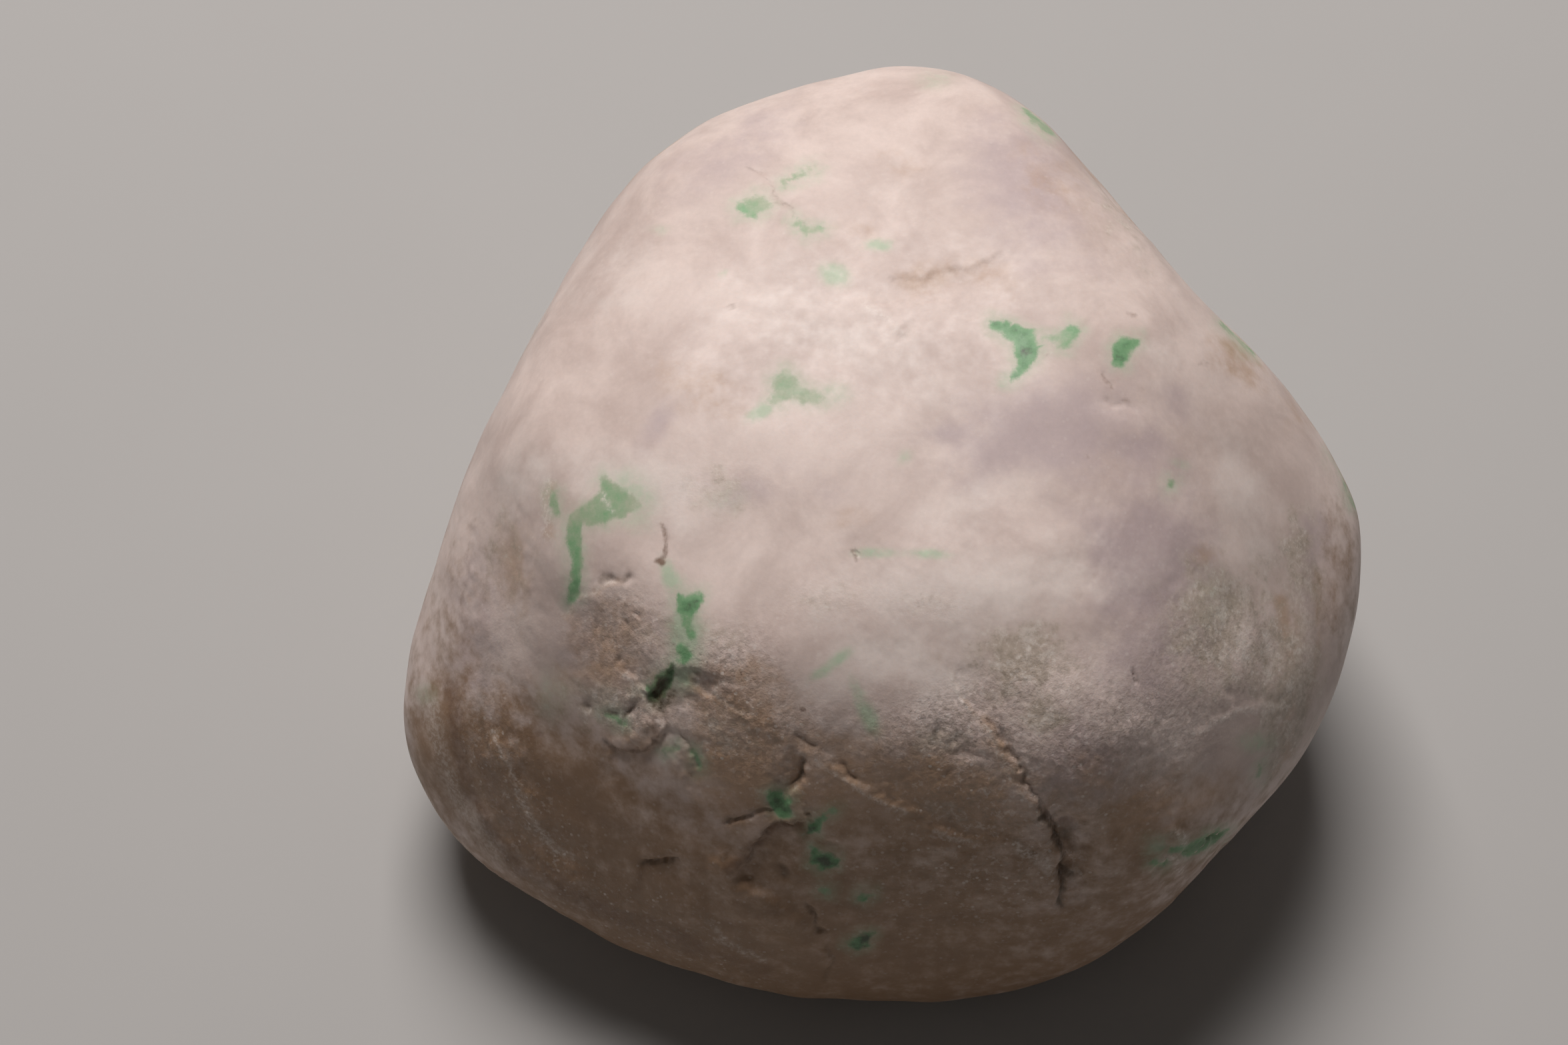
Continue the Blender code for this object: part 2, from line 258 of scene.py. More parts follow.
# How cracks, lips and the edges of marks wander: the wavelength and reach of each wave.
WANDERS = ((9.0, 0.9), (3.2, 0.4), (1.7, 0.22))
WANDER_SEED = 40
CRACK_WANDER = 0.6  # how much of that wander moves cracks and pits
MARK_WANDER = 0.5  # how much of it moves the edges of colours
GRAINS = ((4.6, 0.12), (2.4, 0.12), (1.4, 0.10))  # size and height of the grains on rough patches
LEAST_BROKEN = 0.03  # grains start where the surface is this broken
# How a ledge's drop comes and goes along it: the wavelength and seed of a random field, the
# most that is lost, and the level and slope that turn the field into a share.
RAGGEDNESS = (5.0, 50, 0.15, 0.5, 0.6)


def unit_direction(bearing, lift):
    """The unit vector at a bearing round the outline and a lift toward +w, in degrees."""
    around, out = math.radians(bearing), math.radians(lift)
    return np.array((math.cos(around) * math.cos(out), math.sin(around) * math.cos(out),
                     math.sin(out)))


def worn_radius(directions):
    """How far the worn surface lies from the centre in each direction."""
    reach = np.zeros(len(directions))
    for bearing, lift, distance in WORN_PLANES:
        facing = np.clip(directions @ unit_direction(bearing, lift), 0.0, None)
        reach += (facing / distance) ** EDGE_HARDNESS
    return reach ** (-1.0 / EDGE_HARDNESS)


def swell(points, wavelength, seed):
    """A smooth random field over space with the given wavelength, mostly within -1 to 1."""
    random = np.random.default_rng(seed)
    waves = random.normal(size=(SWELL_WAVES, 3))
    waves *= math.tau / wavelength / np.linalg.norm(waves, axis=1)[:, None]
    phases = random.uniform(0.0, math.tau, SWELL_WAVES)
    return np.cos(points @ waves.T + phases).sum(axis=1) / math.sqrt(SWELL_WAVES)


def smooth_step(value):
    """0 below 0, 1 above 1, and an even slope between."""
    value = np.clip(value, 0.0, 1.0)
    return value * value * (3.0 - 2.0 * value)


def patchy(points, wavelength, seed, strength, level, slope):
    """A share that comes and goes over space, between 0 and its strength."""
    return strength * smooth_step(level + slope * swell(points, wavelength, seed))


def beside_path(places, path):
    """For each place on the map, its distance from the path and its share of the way along.

    The distance is positive on the right-hand side of the path's direction.
    """
    corners = np.array(path, dtype=float)
    steps = np.diff(corners, axis=0)
    lengths = np.linalg.norm(steps, axis=1)
    travelled = np.concatenate(((0.0,), np.cumsum(lengths)))
    nearest = np.full(len(places), np.inf)
    side = np.ones(len(places))
    along = np.zeros(len(places))
    for corner, step, length, start in zip(corners, steps, lengths, travelled):
        offset = places - corner
        share = np.clip(offset @ step / length ** 2, 0.0, 1.0)
        gap = np.linalg.norm(offset - share[:, None] * step, axis=1)
        closer = gap < nearest
        crossing = offset[:, 0] * step[1] - offset[:, 1] * step[0]
        nearest = np.where(closer, gap, nearest)
        side = np.where(closer, np.where(crossing < 0.0, -1.0, 1.0), side)
        along = np.where(closer, (start + share * length) / travelled[-1], along)
    return nearest * side, along


def fade_ends(along):
    """1 along the middle of a path, dying out toward both ends."""
    return smooth_step(along / END_FADE) * smooth_step((1.0 - along) / END_FADE)


def ledge(places, path, drop, run, step_width):
    """A ragged lip that falls to the right of its path, and a low side that climbs back."""
    distance, along = beside_path(places, path)
    flat_places = np.column_stack((places, np.zeros(len(places))))
    drop = drop * (1.0 - patchy(flat_places, *RAGGEDNESS))
    below = smooth_step(distance / step_width)
    fall = below * np.exp(-np.clip(distance, 0.0, None) / run)
    lip = LIP_SHARE * (1.0 - below) * np.exp(-((distance / run / LIP_SPREAD) ** 2))
    return drop * fade_ends(along) * (lip - fall)


def ridge(places, path, height, half_width):
    """A rounded crest along its path, or a crack where the height is negative."""
    distance, along = beside_path(places, path)
    return height * fade_ends(along) * np.exp(-((distance / half_width) ** 2))


def blob(places, centre, half_sizes, bearing):
    """1 at the centre of an oval on the map, dying out over its half sizes."""
    turn = math.radians(bearing)
    offset = places - np.array(centre, dtype=float)
    lengthwise = offset @ (math.cos(turn), math.sin(turn)) / half_sizes[0]
    crosswise = offset @ (-math.sin(turn), math.cos(turn)) / half_sizes[1]
    return np.exp(-(lengthwise ** 2 + crosswise ** 2))


def on_face_map(points):
    """Where the eye sees each point, on the face map."""
    return points[:, :2] * (SIGHT_DISTANCE / (SIGHT_DISTANCE - points[:, 2]))[:, None]


def wander(points):
    """A small random shift for each point's place, so that no crack or lip runs straight."""
    shift = np.zeros((len(points), 2))
    for wave, (wavelength, reach) in enumerate(WANDERS):
        for axis in (0, 1):
            shift[:, axis] += reach * swell(points, wavelength, WANDER_SEED + 2 * wave + axis)
    return shift


def covered(places, spots):
    """The share of each place that any of a table's ovals covers, from 0 to 1."""
    clear = np.ones(len(places))
    for centre, half_sizes, bearing, strength in spots:
        clear *= 1.0 - strength * blob(places, centre, half_sizes, bearing)
    return 1.0 - clear


def fracture(points, wanted):
    """The height of the coarse grains at the wanted points."""
    height = np.zeros(len(points))
    for index in np.flatnonzero(wanted):
        place = Vector(points[index])
        for size, rise in GRAINS:
            height[index] += rise * noise.noise(place / size)
    return height


def fine_relief(points):
    """The height of the broad face's cracks, pits and knobs."""
    places = on_face_map(points) + CRACK_WANDER * wander(points)
    height = np.zeros(len(points))
    for _name, path, half_width, depth in CRACKS:
        height += ridge(places, path, -depth, half_width)
    for _name, centre, half_sizes, bearing, rise in SMALL_MOUNDS:
        height += rise * blob(places, centre, half_sizes, bearing)
    return height


def face_relief(points):
    """The height of all relief on the broad face."""
    places = on_face_map(points) + wander(points)
    height = fine_relief(points)
    for _name, path, drop, run, step_width in LEDGES:
        height += ledge(places, path, drop, run, step_width)
    for _name, path, crest, half_width in RIDGES:
        height += ridge(places, path, crest, half_width)
    for _name, centre, half_sizes, bearing, rise in MOUNDS:
        height += rise * blob(places, centre, half_sizes, bearing)
    return height


def side_relief(points):
    """The depth of the dents on the sides and back, as negative heights."""
    height = np.zeros(len(points))
    for bearing, lift, radius, depth in SIDE_DENTS:
        direction = unit_direction(bearing, lift)[None, :]
        centre = direction * worn_radius(direction)
        away = np.linalg.norm(points - centre, axis=1)
        height -= depth * np.exp(-((away / radius) ** 2))
    return height


def vertex_points(mesh):
    """The places of the mesh's vertices."""
    points = np.empty(len(mesh.vertices) * 3)
    mesh.vertices.foreach_get("co", points)
    return points.reshape(-1, 3)


def move_vertices(mesh, points):
    """Put the mesh's vertices at these points."""
    mesh.vertices.foreach_set("co", points.ravel())
    mesh.update()


def vertex_normals(mesh):
    """The outward normals at the mesh's vertices."""
    normals = np.empty(len(mesh.vertices) * 3)
    mesh.vertex_normals.foreach_get("vector", normals)
    return normals.reshape(-1, 3)


def sculpt_stone():
    """The whole stone in face axes and millimetres, as a fine closed mesh."""
    ball = bmesh.new()
    bmesh.ops.create_icosphere(ball, subdivisions=SPHERE_SUBDIVISIONS, radius=1.0)
    mesh = bpy.data.meshes.new("jade_boulder")
    ball.to_mesh(mesh)
    ball.free()
    directions = vertex_points(mesh) + CROWDING * unit_direction(*CROWDED_FACING)
    directions /= np.linalg.norm(directions, axis=1)[:, None]
    points = directions * worn_radius(directions)[:, None]
    move_vertices(mesh, points)
    normals = vertex_normals(mesh)
    undulation = np.zeros(len(points))
    for seed, (wavelength, rise) in enumerate(SWELLS):
        undulation += rise * swell(points, wavelength, seed)
    toward_ground = normals @ unit_direction(*REST_FACING)
    height = side_relief(points)
    height += undulation * smooth_step((REST_EVENNESS - toward_ground) / (1.0 - REST_EVENNESS))
    edge, full = RELIEF_FACING
    toward_face = smooth_step((normals[:, 2] - edge) / (full - edge))
    height += toward_face * face_relief(points)
    broken = toward_face * covered(on_face_map(points), ROUGH_PATCHES)
    height += broken * fracture(points, broken > LEAST_BROKEN)
    move_vertices(mesh, points + normals * height[:, None])
    return mesh


def thin_out(stone):
    """Drop faces where the surface is smooth, down to the face budget."""
    thinner = stone.modifiers.new("thin out", "DECIMATE")
    thinner.ratio = FACE_BUDGET / len(stone.data.polygons)
    shape = stone.evaluated_get(bpy.context.evaluated_depsgraph_get())
    fine_mesh = stone.data
    stone.data = bpy.data.meshes.new_from_object(shape)
    stone.modifiers.clear()
    bpy.data.meshes.remove(fine_mesh)


def set_down(mesh):
    """Lean the stone back, wear its low bulge flat, and stand it where the solid stands.

    Returns where the stone's centre comes to lie, in metres.
    """
    lean = math.radians(LEAN_DEGREES)
    points = vertex_points(mesh)
    crown, out = points[:, 1], points[:, 2]
    rise = crown * math.sin(lean) + out * math.cos(lean)
    depth = crown * math.cos(lean) - out * math.sin(lean)
    points[:, 1] = depth
    points[:, 2] = np.maximum(rise, rise.min() + REST_DEPTH)
    points *= MILLIMETRE
    low, high = points.min(axis=0), points.max(axis=0)
    solid_low, solid_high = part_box("boulder")
    centre = (np.array(solid_low) + np.array(solid_high) - low - high) / 2.0
    centre[2] = solid_low.z - low[2]
    move_vertices(mesh, points + centre)
    return centre


def make_boulder():
    """The stone's fine mesh in place of its solid, and where its centre lies."""
    stone = bpy.data.objects.new("jade_boulder", sculpt_stone())
    bpy.context.scene.collection.objects.link(stone)
    bpy.context.view_layer.update()
    thin_out(stone)
    paint_markings(stone.data)
    centre = set_down(stone.data)
    stone.data.polygons.foreach_set("use_smooth", [True] * len(stone.data.polygons))
    return stone, centre


# ---- markings on the broad face, in face-map millimetres ----

# Green inclusions: the outline, and the tone from 0, pale olive, to 1, the deepest green.
GREEN_PATCHES = (
    ("kite", 0.44, ((-64.2, 15), (-60, 11), (-55.2, 6.8), (-60.3, 4.8), (-64.6, 2.8), (-68.4, 2.4),
     (-69.2, -1.3), (-69.1, -4.5), (-69.4, -9), (-69.9, -13.7), (-72.2, -13.2), (-71.6, -6.7),
     (-72, -3.4), (-73.4, 0.4), (-72, 5.2), (-68.4, 8), (-65.4, 10.7))),
    ("chain", 0.9, ((-47.8, -11.6), (-46.2, -12.7), (-43.5, -13.2), (-40.5, -12.7), (-40.8, -14.8),
     (-42.4, -16.7), (-43.8, -18.6), (-46.2, -17.5), (-47.3, -15.4))),
    # The hollow's dark olive is partly painted shade.
    ("hollow", 0.88, ((-55, -35), (-53, -32.4), (-50.6, -30.2), (-48.8, -28.2), (-47.4, -30),
     (-47.8, -33.4), (-49.6, -36.4), (-52.4, -38))),
    ("notch wedge", 0.9, ((69, -70.6), (71.5, -69.2), (75, -68), (79.6, -66.8), (77.6, -68.8),
     (74.6, -70.6), (71.6, -72), (69, -72.2))),
    ("pit green", 0.88, ((-27, -59), (-25.5, -57.5), (-22.5, -58), (-20.5, -60.5), (-21, -63.5),
     (-23, -64), (-25, -62))),
    ("deep square", 1.2, ((-17, -64.5), (-13.5, -64.2), (-14, -67.5), (-17, -67.5))),
    ("deep bar", 1.1, ((-16, -71), (-14.5, -72.5), (-10, -73), (-10, -75), (-14, -76.5),
     (-16, -75))),
    ("belly spot", 1.05, ((-6, -82.5), (-4, -81), (-1.5, -81.5), (-3.5, -83))),
    ("foot spot", 1.2, ((-8, -93), (-5, -91.3), (-2.2, -91), (-3.5, -93), (-6, -94))),
    ("bird", 0.88, ((24.8, 50), (28, 49.8), (31, 48.6), (34.8, 47), (37, 43.6), (36, 41),
     (34, 39.4), (32, 37.6), (29.6, 35.6), (29.8, 38), (30.8, 39.8), (30.2, 42), (30.6, 44.6),
     (28.4, 46), (25.6, 47.6))),
    ("bird wing", 0.74, ((40.2, 43.6), (41, 47), (43, 49.6), (45.6, 48.4), (45, 46),
     (42.6, 43.4))),
    ("drop", 0.9, ((52.5, 43.1), (54.8, 45.8), (59, 45.8), (57.4, 43.1), (55.5, 39.3),
     (52.9, 40))),
    ("crown patch", 0.4, ((-33.6, 76), (-30, 78.7), (-26.5, 78.3), (-24.8, 76.8), (-29.5, 74),
     (-33, 74.5))),
    ("centre patch", 0.36, ((-25, 37), (-23, 39), (-20.5, 38), (-18, 35), (-14, 33.5), (-13, 31),
     (-17, 31), (-20, 32.5), (-24, 30), (-26, 31), (-24, 34))),
)

# Green strokes: the tone, the half width, and the path.
GREEN_STROKES = (
    (0.95, 1.2, ((-70.8, -1), (-70.6, -6), (-71, -13.4))),
    (0.62, 1, ((-63.5, 7.6), (-60, 7))),
    (0.8, 0.8, ((-33, 75.8), (-31, 74.8), (-29, 74.6))),
    (1, 1.3, ((26, 48.7), (29.5, 47.9), (32.6, 46.2))),
    (0.75, 1, ((-44.5, -18.5), (-44.3, -20.5), (-43.6, -22.5))),
    (0.85, 1.3, ((-46.2, -25.8), (-45.6, -27.2))),
    (0.55, 0.8, ((-13.6, -64.4), (-11.2, -62.6))),
    (0.7, 0.4, ((-14, -80.8), (-12, -81.2))),
    (0.3, 0.6, ((37, 46.2), (39.5, 45.4), (42, 46))),
    (0.45, 0.9, ((-20.5, 73.2), (-17.2, 70.5), (-14, 71.3))),
    (0.3, 0.8, ((-22, 82), (-18, 83.8), (-15, 85))),
    (0.55, 0.5, ((66.2, 11.2), (66.8, 12.8))),
    (0.75, 0.6, ((62.6, -74.4), (64.2, -74.8))),
    (0.7, 0.8, ((66.6, -71.6), (69, -71.2))),
    (0.3, 0.7, ((61.6, -70.4), (64, -70.6))),
    (0.55, 0.4, ((86.2, -55), (86.8, -51.6))),
    (0.5, 0.9, ((33, 98), (35.6, 95.8), (38.4, 93.4))),
    (0.5, 0.8, ((78.4, 49.4), (82, 46.2), (85.4, 43))),
    (0.55, 1.1, ((104, 20), (106.8, 15), (108.5, 8))),
    (0.5, 0.7, ((-75.4, 10), (-75, 6))),
    (0.8, 0.6, ((-62.8, -40.6), (-61.4, -40.8))),
    (0.6, 0.8, ((-60.4, -41.8), (-59.2, -42.4))),
    (0.75, 0.7, ((-43.8, -49.2), (-43, -50.8), (-41.6, -52.4))),
    (0.35, 0.6, ((-49.6, -49), (-47.4, -48.6))),
)

# Mint haze in the stone: centre, half sizes, bearing of the long axis, and strength.
MINT_HAZE = (
    ((-58, 11), (7, 5), -30, 0.6),
    ((-56, 4), (5, 4), 0, 0.35),
    ((-45, -22), (9.5, 4.2), 95, 0.9),
    ((-48.8, -9), (4.4, 1.9), 112, 0.9),
    ((-46.5, -32), (4.5, 3), 90, 0.7),
    ((-9.5, -27.5), (3.6, 1.6), 35, 0.75),
    ((-14, -31), (3.2, 1.3), 30, 0.7),
    ((-5.5, -36), (5, 1.7), -70, 0.5),
    ((-2.8, -41.5), (4.2, 2.3), -65, 0.75),
    ((-2, -3.5), (5.4, 1.3), 0, 0.7),
    ((11, -3.8), (5.4, 1.3), -3, 0.7),
    ((5, 18.3), (2.6, 2), 40, 0.45),
    ((-11, 60.5), (2.6, 3.8), 70, 0.95),
    ((-0.6, 67.2), (3.4, 1.4), 0, 1),
    ((-11, 33), (5, 3.4), 0, 0.5),
    ((-28, 28.8), (3.8, 1.7), 30, 0.9),
    ((28.5, 36), (3, 2.4), 40, 0.55),
    ((33, 41), (4, 5), 110, 0.4),
    ((68.4, 17), (1.4, 3), 70, 0.4),
    ((86, -47), (3.2, 5.4), 90, 0.5),
    ((-36, 60.5), (1.7, 1.1), 0, 0.6),
    ((-51, 71), (3.4, 1.3), 0, 0.4),
    ((12, 105), (6, 3), 0, 0.35),
    ((-105, -36), (3.4, 3.4), 0, 0.4),
    ((-76, -36), (5, 8), 0, 0.35),
    ((76, -14), (7, 10), 0, 0.22),
    ((-24, -62), (3.4, 2.4), 0, 0.5),
    ((-36, 9), (7, 4), 0, 0.3),
)

# Rust stains, and painted shade under lips and on the shaded sides of ledges, knobs and creases:
# the half width, the strength, and the path.
RUST_AND_SHADE_STROKES = (
    (0.5, 0.7, ((-50.3, 2.5), (-50.4, -1.3), (-50, -4), (-50.8, -4.8))),
    (0.9, 0.8, ((-51.2, -4.6), (-50.4, -5.2))),
    (0.5, 0.9, ((-18.8, -38.7), (-18.2, -38.9))),
    (0.5, 0.45, ((-31, 85), (-27, 83), (-24, 79), (-20, 74), (-17, 72))),
    (0.9, 0.4, ((-25, 78.6), (-22.4, 76.4))),
    (0.5, 0.4, ((-36, 58), (-34.4, 54), (-33, 50))),
    (0.8, 0.6, ((14.2, 32.2), (15, 32))),
    (0.7, 0.5, ((37.2, 42.6), (37.9, 42.3))),
    (0.8, 0.4, ((56.2, 51.6), (57.6, 51.3))),
    (0.6, 0.5, ((50.5, 37.4), (51.3, 35.5), (52.4, 33.8))),
    (0.7, 0.35, ((55, 31.4), (56.6, 31.2))),
    (0.7, 0.5, ((43.4, 22.2), (44.1, 22))),
    (0.7, 0.5, ((46.2, 19.1), (46.9, 18.9))),
    (1.4, 0.15, ((72.5, -4), (75.5, -4.2))),
    (0.8, 0.4, ((73, 40.2), (74, 39.6))),
    (0.8, 0.45, ((-64, -47), (-62.8, -47.3))),
    (0.8, 0.45, ((-79.2, -45), (-78.2, -45.2))),
    (0.6, 0.5, ((-7.6, -3.4), (-6.4, -5.8))),
    (0.6, 0.6, ((-58.9, -40.5), (-57.6, -39.4), (-56.2, -38.6))),
    # This stroke and the next are painted shade: the shadow under the nodule and on its right
    # side.
    (0.5, 0.6, ((-61, -48.1), (-57.6, -49.3), (-54.8, -49), (-52.4, -46.8))),
    (0.9, 0.4, ((-53.2, -43.6), (-52.4, -46))),
    # Painted shade above the right lip.
    (2, 0.3, ((-40, -33), (-36, -34.4), (-33, -36.6))),
    (0.7, 0.35, ((10.5, -46.5), (15, -48), (19, -49.4), (23, -50.2))),
    (1.5, 0.28, ((-53.4, 21), (-52.6, 21.4))),
    (1.3, 0.25, ((-51.8, 29), (-51.2, 29.2))),
    (1.3, 0.25, ((-48.4, 26.6), (-47.6, 26.8))),
    (0.5, 0.4, ((-14.4, 73.4), (-12.8, 75.2))),
    # Painted shade below the undercut's lip.
    (1.8, 0.45, ((-35, -76.5), (-30, -71.5), (-25, -67.5), (-20, -65))),
    (2.2, 0.35, ((-92, -50), (-89, -60), (-84, -70), (-74, -79))),
    (2, 0.35, ((-84, -76), (-66, -86), (-46, -94), (-26, -100))),
    (0.7, 0.5, ((-44.2, -53.6), (-43.2, -54.2))),
    # Painted shade along the crown wrinkle.
    (1.7, 0.3, ((2, 59.6), (8, 59.2), (14, 60.4), (20, 62), (27, 65))),
    (0.5, 0.5, ((24.4, -41.5), (27.2, -45.5), (29.8, -50.5), (32.6, -55.5), (35.4, -60.5),
     (38.4, -65.5))),
    (2.2, 0.45, ((-99, -34), (-98, -46), (-95, -58), (-90, -68), (-82, -77))),
    (1, 0.4, ((-93, -62), (-88, -72), (-80, -79), (-70, -84))),
    (2.6, 0.4, ((-78, -79), (-66, -85), (-54, -89), (-42, -94))),
    (1.2, 0.3, ((-94, 4), (-96, -12), (-96, -26))),
    (1.4, 0.3, ((-70, -62), (-62, -66), (-52, -67), (-44, -64))),
    (1.6, 0.3, ((-26, -86), (-10, -84), (6, -88), (22, -86))),
    (1.2, 0.3, ((96, -4), (97.5, -16), (96, -30))),
    (1.4, 0.3, ((101, 6), (102.5, -8), (101, -22))),
)

# Painted shade in the deepest hollows and pits, and along some cracks and edges: the half width,
# the strength and the path.
PAINTED_SHADE_STROKES = (
    (1, 0.7, ((-49.2, -29.4), (-50.2, -32))),
    (2.5, 1.2, ((-50.8, -33.6), (-51.4, -36.4), (-51.4, -38.4))),
    (1.5, 1.1, ((-51, -39), (-48.7, -38), (-47.8, -35.4))),
    (0.6, 0.8, ((-64, -9.6), (-62.6, -10))),
    (0.5, 0.8, ((-59.6, -9.6), (-59.2, -8.8))),
    (0.7, 0.6, ((-59, -40.6), (-57.6, -39.4), (-56.2, -38.6))),
    (1.6, 0.3, ((97, -2), (99.5, -14), (99, -28), (96, -40))),
    (0.8, 0.25, ((84.5, -12), (86, -20), (88, -30))),
    (1, 0.3, ((-91, -30), (-92.5, -40), (-90, -50))),
    (1.6, 0.12, ((-97, -58), (-91, -69), (-82, -79), (-70, -85))),
    (1.3, 0.35, ((38.4, -66), (42.4, -67.4))),
    (1.2, 0.35, ((41.6, -76), (43.6, -77))),
)

# Tan bands, as iron has stained the faces of ledges: the half width, the strength, the path.
TAN_STROKES = (
    (1.5, 0.6, ((23.5, -42), (26.4, -46), (29, -51.5), (31.8, -57), (34.8, -62), (37.5, -66))),
    (0.8, 0.5, ((12, -26), (14, -29.5), (18, -35), (22, -40.5))),
    (1.4, 0.5, ((39.6, -70), (40.2, -77), (40.4, -86))),
    (2.8, 0.5, ((-16, -51), (-9, -56), (-3, -59), (4, -62), (10, -66.5), (20, -69), (34, -71))),
    (1.4, 0.6, ((-24, -43), (-30, -41), (-35, -39), (-41, -36), (-44, -33))),
    (1.2, 0.5, ((-44, -40), (-36, -45), (-28, -47), (-20, -49))),
    (1.8, 0.7, ((-36, -71), (-34, -78), (-28, -84), (-20, -88), (-14, -93))),
    (1.2, 0.4, ((-73, -18), (-70, -14.5), (-65, -11.4), (-60, -10.4))),
    (2, 0.8, ((-89, -44), (-88, -49), (-84, -58), (-77, -70), (-71, -73))),
    (1.2, 0.5, ((-76.5, 12), (-77, 6), (-76.5, 0))),
    (1.6, 0.7, ((91, -14), (93.5, -24), (94, -36), (92, -50))),
    (0.9, 0.5, ((99, -8), (100, -22), (97, -38), (90, -54))),
)

# Pale veins, and painted highlights along the lips of ledges: the half width, the strength and the
# path.
PALE_STROKES = (
    (0.22, 1.2, ((-64.8, 11.4), (-63.6, 9.6), (-62.6, 7.4), (-61.6, 6))),
    (0.9, 0.7, ((66.6, -68), (68.6, -68.4), (69.2, -69.8))),
    (0.8, 0.7, ((64.6, -73.4), (67.4, -74), (68.2, -76.4))),
    (1.7, 0.25, ((-56.4, -42), (-55, -45.4))),
    (0.4, 0.9, ((70, -44.6), (76, -42.8), (82, -40), (91, -38.4))),
    (0.4, 0.7, ((-19.6, -49.4), (-15.4, -51), (-11, -54.6), (-4, -58.6), (5, -63))),
    (0.5, 0.6, ((12, -67.4), (17, -69.6), (20, -69.8))),
    (0.5, 0.7, ((30, -69.6), (33, -71.2), (38.4, -73.6))),
    (1.2, 0.3, ((96.5, -10), (97, -24), (95.5, -38))),
    (0.6, 0.5, ((83, -10), (82.6, -16), (84, -21))),
    (0.8, 0.5, ((88, -22), (89.4, -28), (88, -33))),
    (0.8, 0.6, ((-76.8, 13), (-77, 6), (-76.6, 0))),
    (0.6, 0.6, ((-89, -43.6), (-87, -50), (-84, -57), (-80.6, -65), (-76, -71), (-71, -73.4))),
    (0.35, 0.8, ((14.6, -31), (17, -34.6), (20, -38.6), (22.4, -41.6))),
    (0.3, 0.5, ((22.4, -41.6), (25.2, -45.6), (27.7, -51), (30.3, -56), (33.4, -61), (37, -66))),
    (1.8, 0.4, ((-104, -38), (-101.5, -52), (-96, -63), (-88, -73))),
    (0.3, 0.7, ((-73, -17.6), (-70, -14.6), (-65.4, -11.4), (-61.6, -10.6))),
    (0.5, 0.6, ((-58.8, -32.4), (-57, -33.6), (-54.9, -35.6))),
    (0.3, 0.6, ((-29, -40.4), (-34.8, -38.8), (-38.1, -36.2), (-42.9, -33.4))),
    (0.5, 0.6, ((-38.2, -36), (-37, -33.4))),
    (0.9, 0.7, ((31, -71), (35, -73), (38, -75.6))),
    (0.35, 0.4, ((-14.8, -20), (-14.9, -29))),
    (0.5, 0.5, ((-40, -88), (-37, -92), (-33, -95), (-27, -97))),
    (0.5, 0.4, ((41, -33), (44, -38), (48, -42))),
    (1.2, 0.5, ((82, -22), (82.4, -28))),
    (0.8, 0.4, ((-4, 53), (0, 50.4), (4, 47.6))),
)

# Broad casts of colour: centre, half sizes, bearing of the long axis, and strength.
LILAC_CASTS = (
    ((60, -5), (17, 20), 0, 0.9),
    ((36, 24), (24, 13), 10, 0.85),
    ((50, 60), (14, 22), 35, 0.15),
    ((34, 68), (13, 10), 0, 0.35),
    ((-35, 88), (24, 8), 30, 0.5),
    ((30, 84), (16, 13), -45, 0.68),
    ((62, -30), (14, 10), 0, 0.5),
    ((48, -52), (13, 11), 0, 0.58),
    ((68, 31), (6, 5), 150, 0.45),
    ((14.5, 24), (6, 3), 0, 0.5),
    ((61, 21), (6, 3), 0, 0.5),
    ((-52, 26), (8, 4), 60, 0.6),
    ((-36, 10), (13, 7), 0, 0.45),
    ((98, -4), (5, 14), 0, 0.6),
    ((-93, -20), (8, 24), 0, 0.45),
    ((-15, 12), (16, 7), 0, 0.3),
    ((-70, -24), (8, 12), 0, 0.35),
)
MILK_CASTS = (
    ((20, -12), (40, 11), 8, 0.68),
    ((-48, -48), (7, 4.5), 110, 0.45),
    ((-58, 14), (22, 8), -12, 0.7),
    ((14, -34), (10, 8), 40, 0.6),
    ((0, 42), (30, 10), -15, 0.4),
    ((-20, 60), (24, 12), 20, 0.3),
    ((30, 76), (18, 10), 120, 0.15),
    ((-12, -35), (11, 5), 20, 0.5),
    # A paler patch here, partly painted light where the broad face turns toward the belly.
    ((0, -28), (15, 6), 0, 0.6),
    ((84, 8), (8, 16), 20, 0.6),
    ((22, 8), (20, 6), 20, 0.4),
    ((-60, 60), (16, 12), 50, 0.4),
    ((-84, 12), (8, 10), 0, 0.5),
    ((-45, 2), (8, 8), 0, 0.35),
    ((63, 42), (9, 8), 0, 0.4),
    ((69, -46), (10, 5), 20, 0.3),
)
MOSS_CASTS = (
    ((32, -28), (13, 9), 0, 0.9),
    ((76, -20), (13, 16), 0, 0.75),
    ((93, -36), (7, 20), -10, 0.8),
    ((-65, -38), (9, 6), 0, 0.8),
    ((-38, 11), (11, 8), 0, 0.45),
    ((-35, -45), (8, 5), 150, 0.45),
    ((14, -46), (9, 4), 10, 0.5),
    ((37, -41), (6, 3.5), 0, 0.9),
    ((16, -64), (10, 4), 155, 0.35),
    ((-14, -13), (10, 5), 0, 0.4),
    ((12, -15), (9, 4), 0, 0.4),
    ((95, -2), (6, 10), 0, 0.6),
    ((-44, -22), (7, 13), 90, 0.5),
    ((-86, -4), (8, 16), 0, 0.35),
    ((56, 72), (8, 16), 40, 0.35),
    ((-84, -66), (10, 22), 40, 0.3),
)
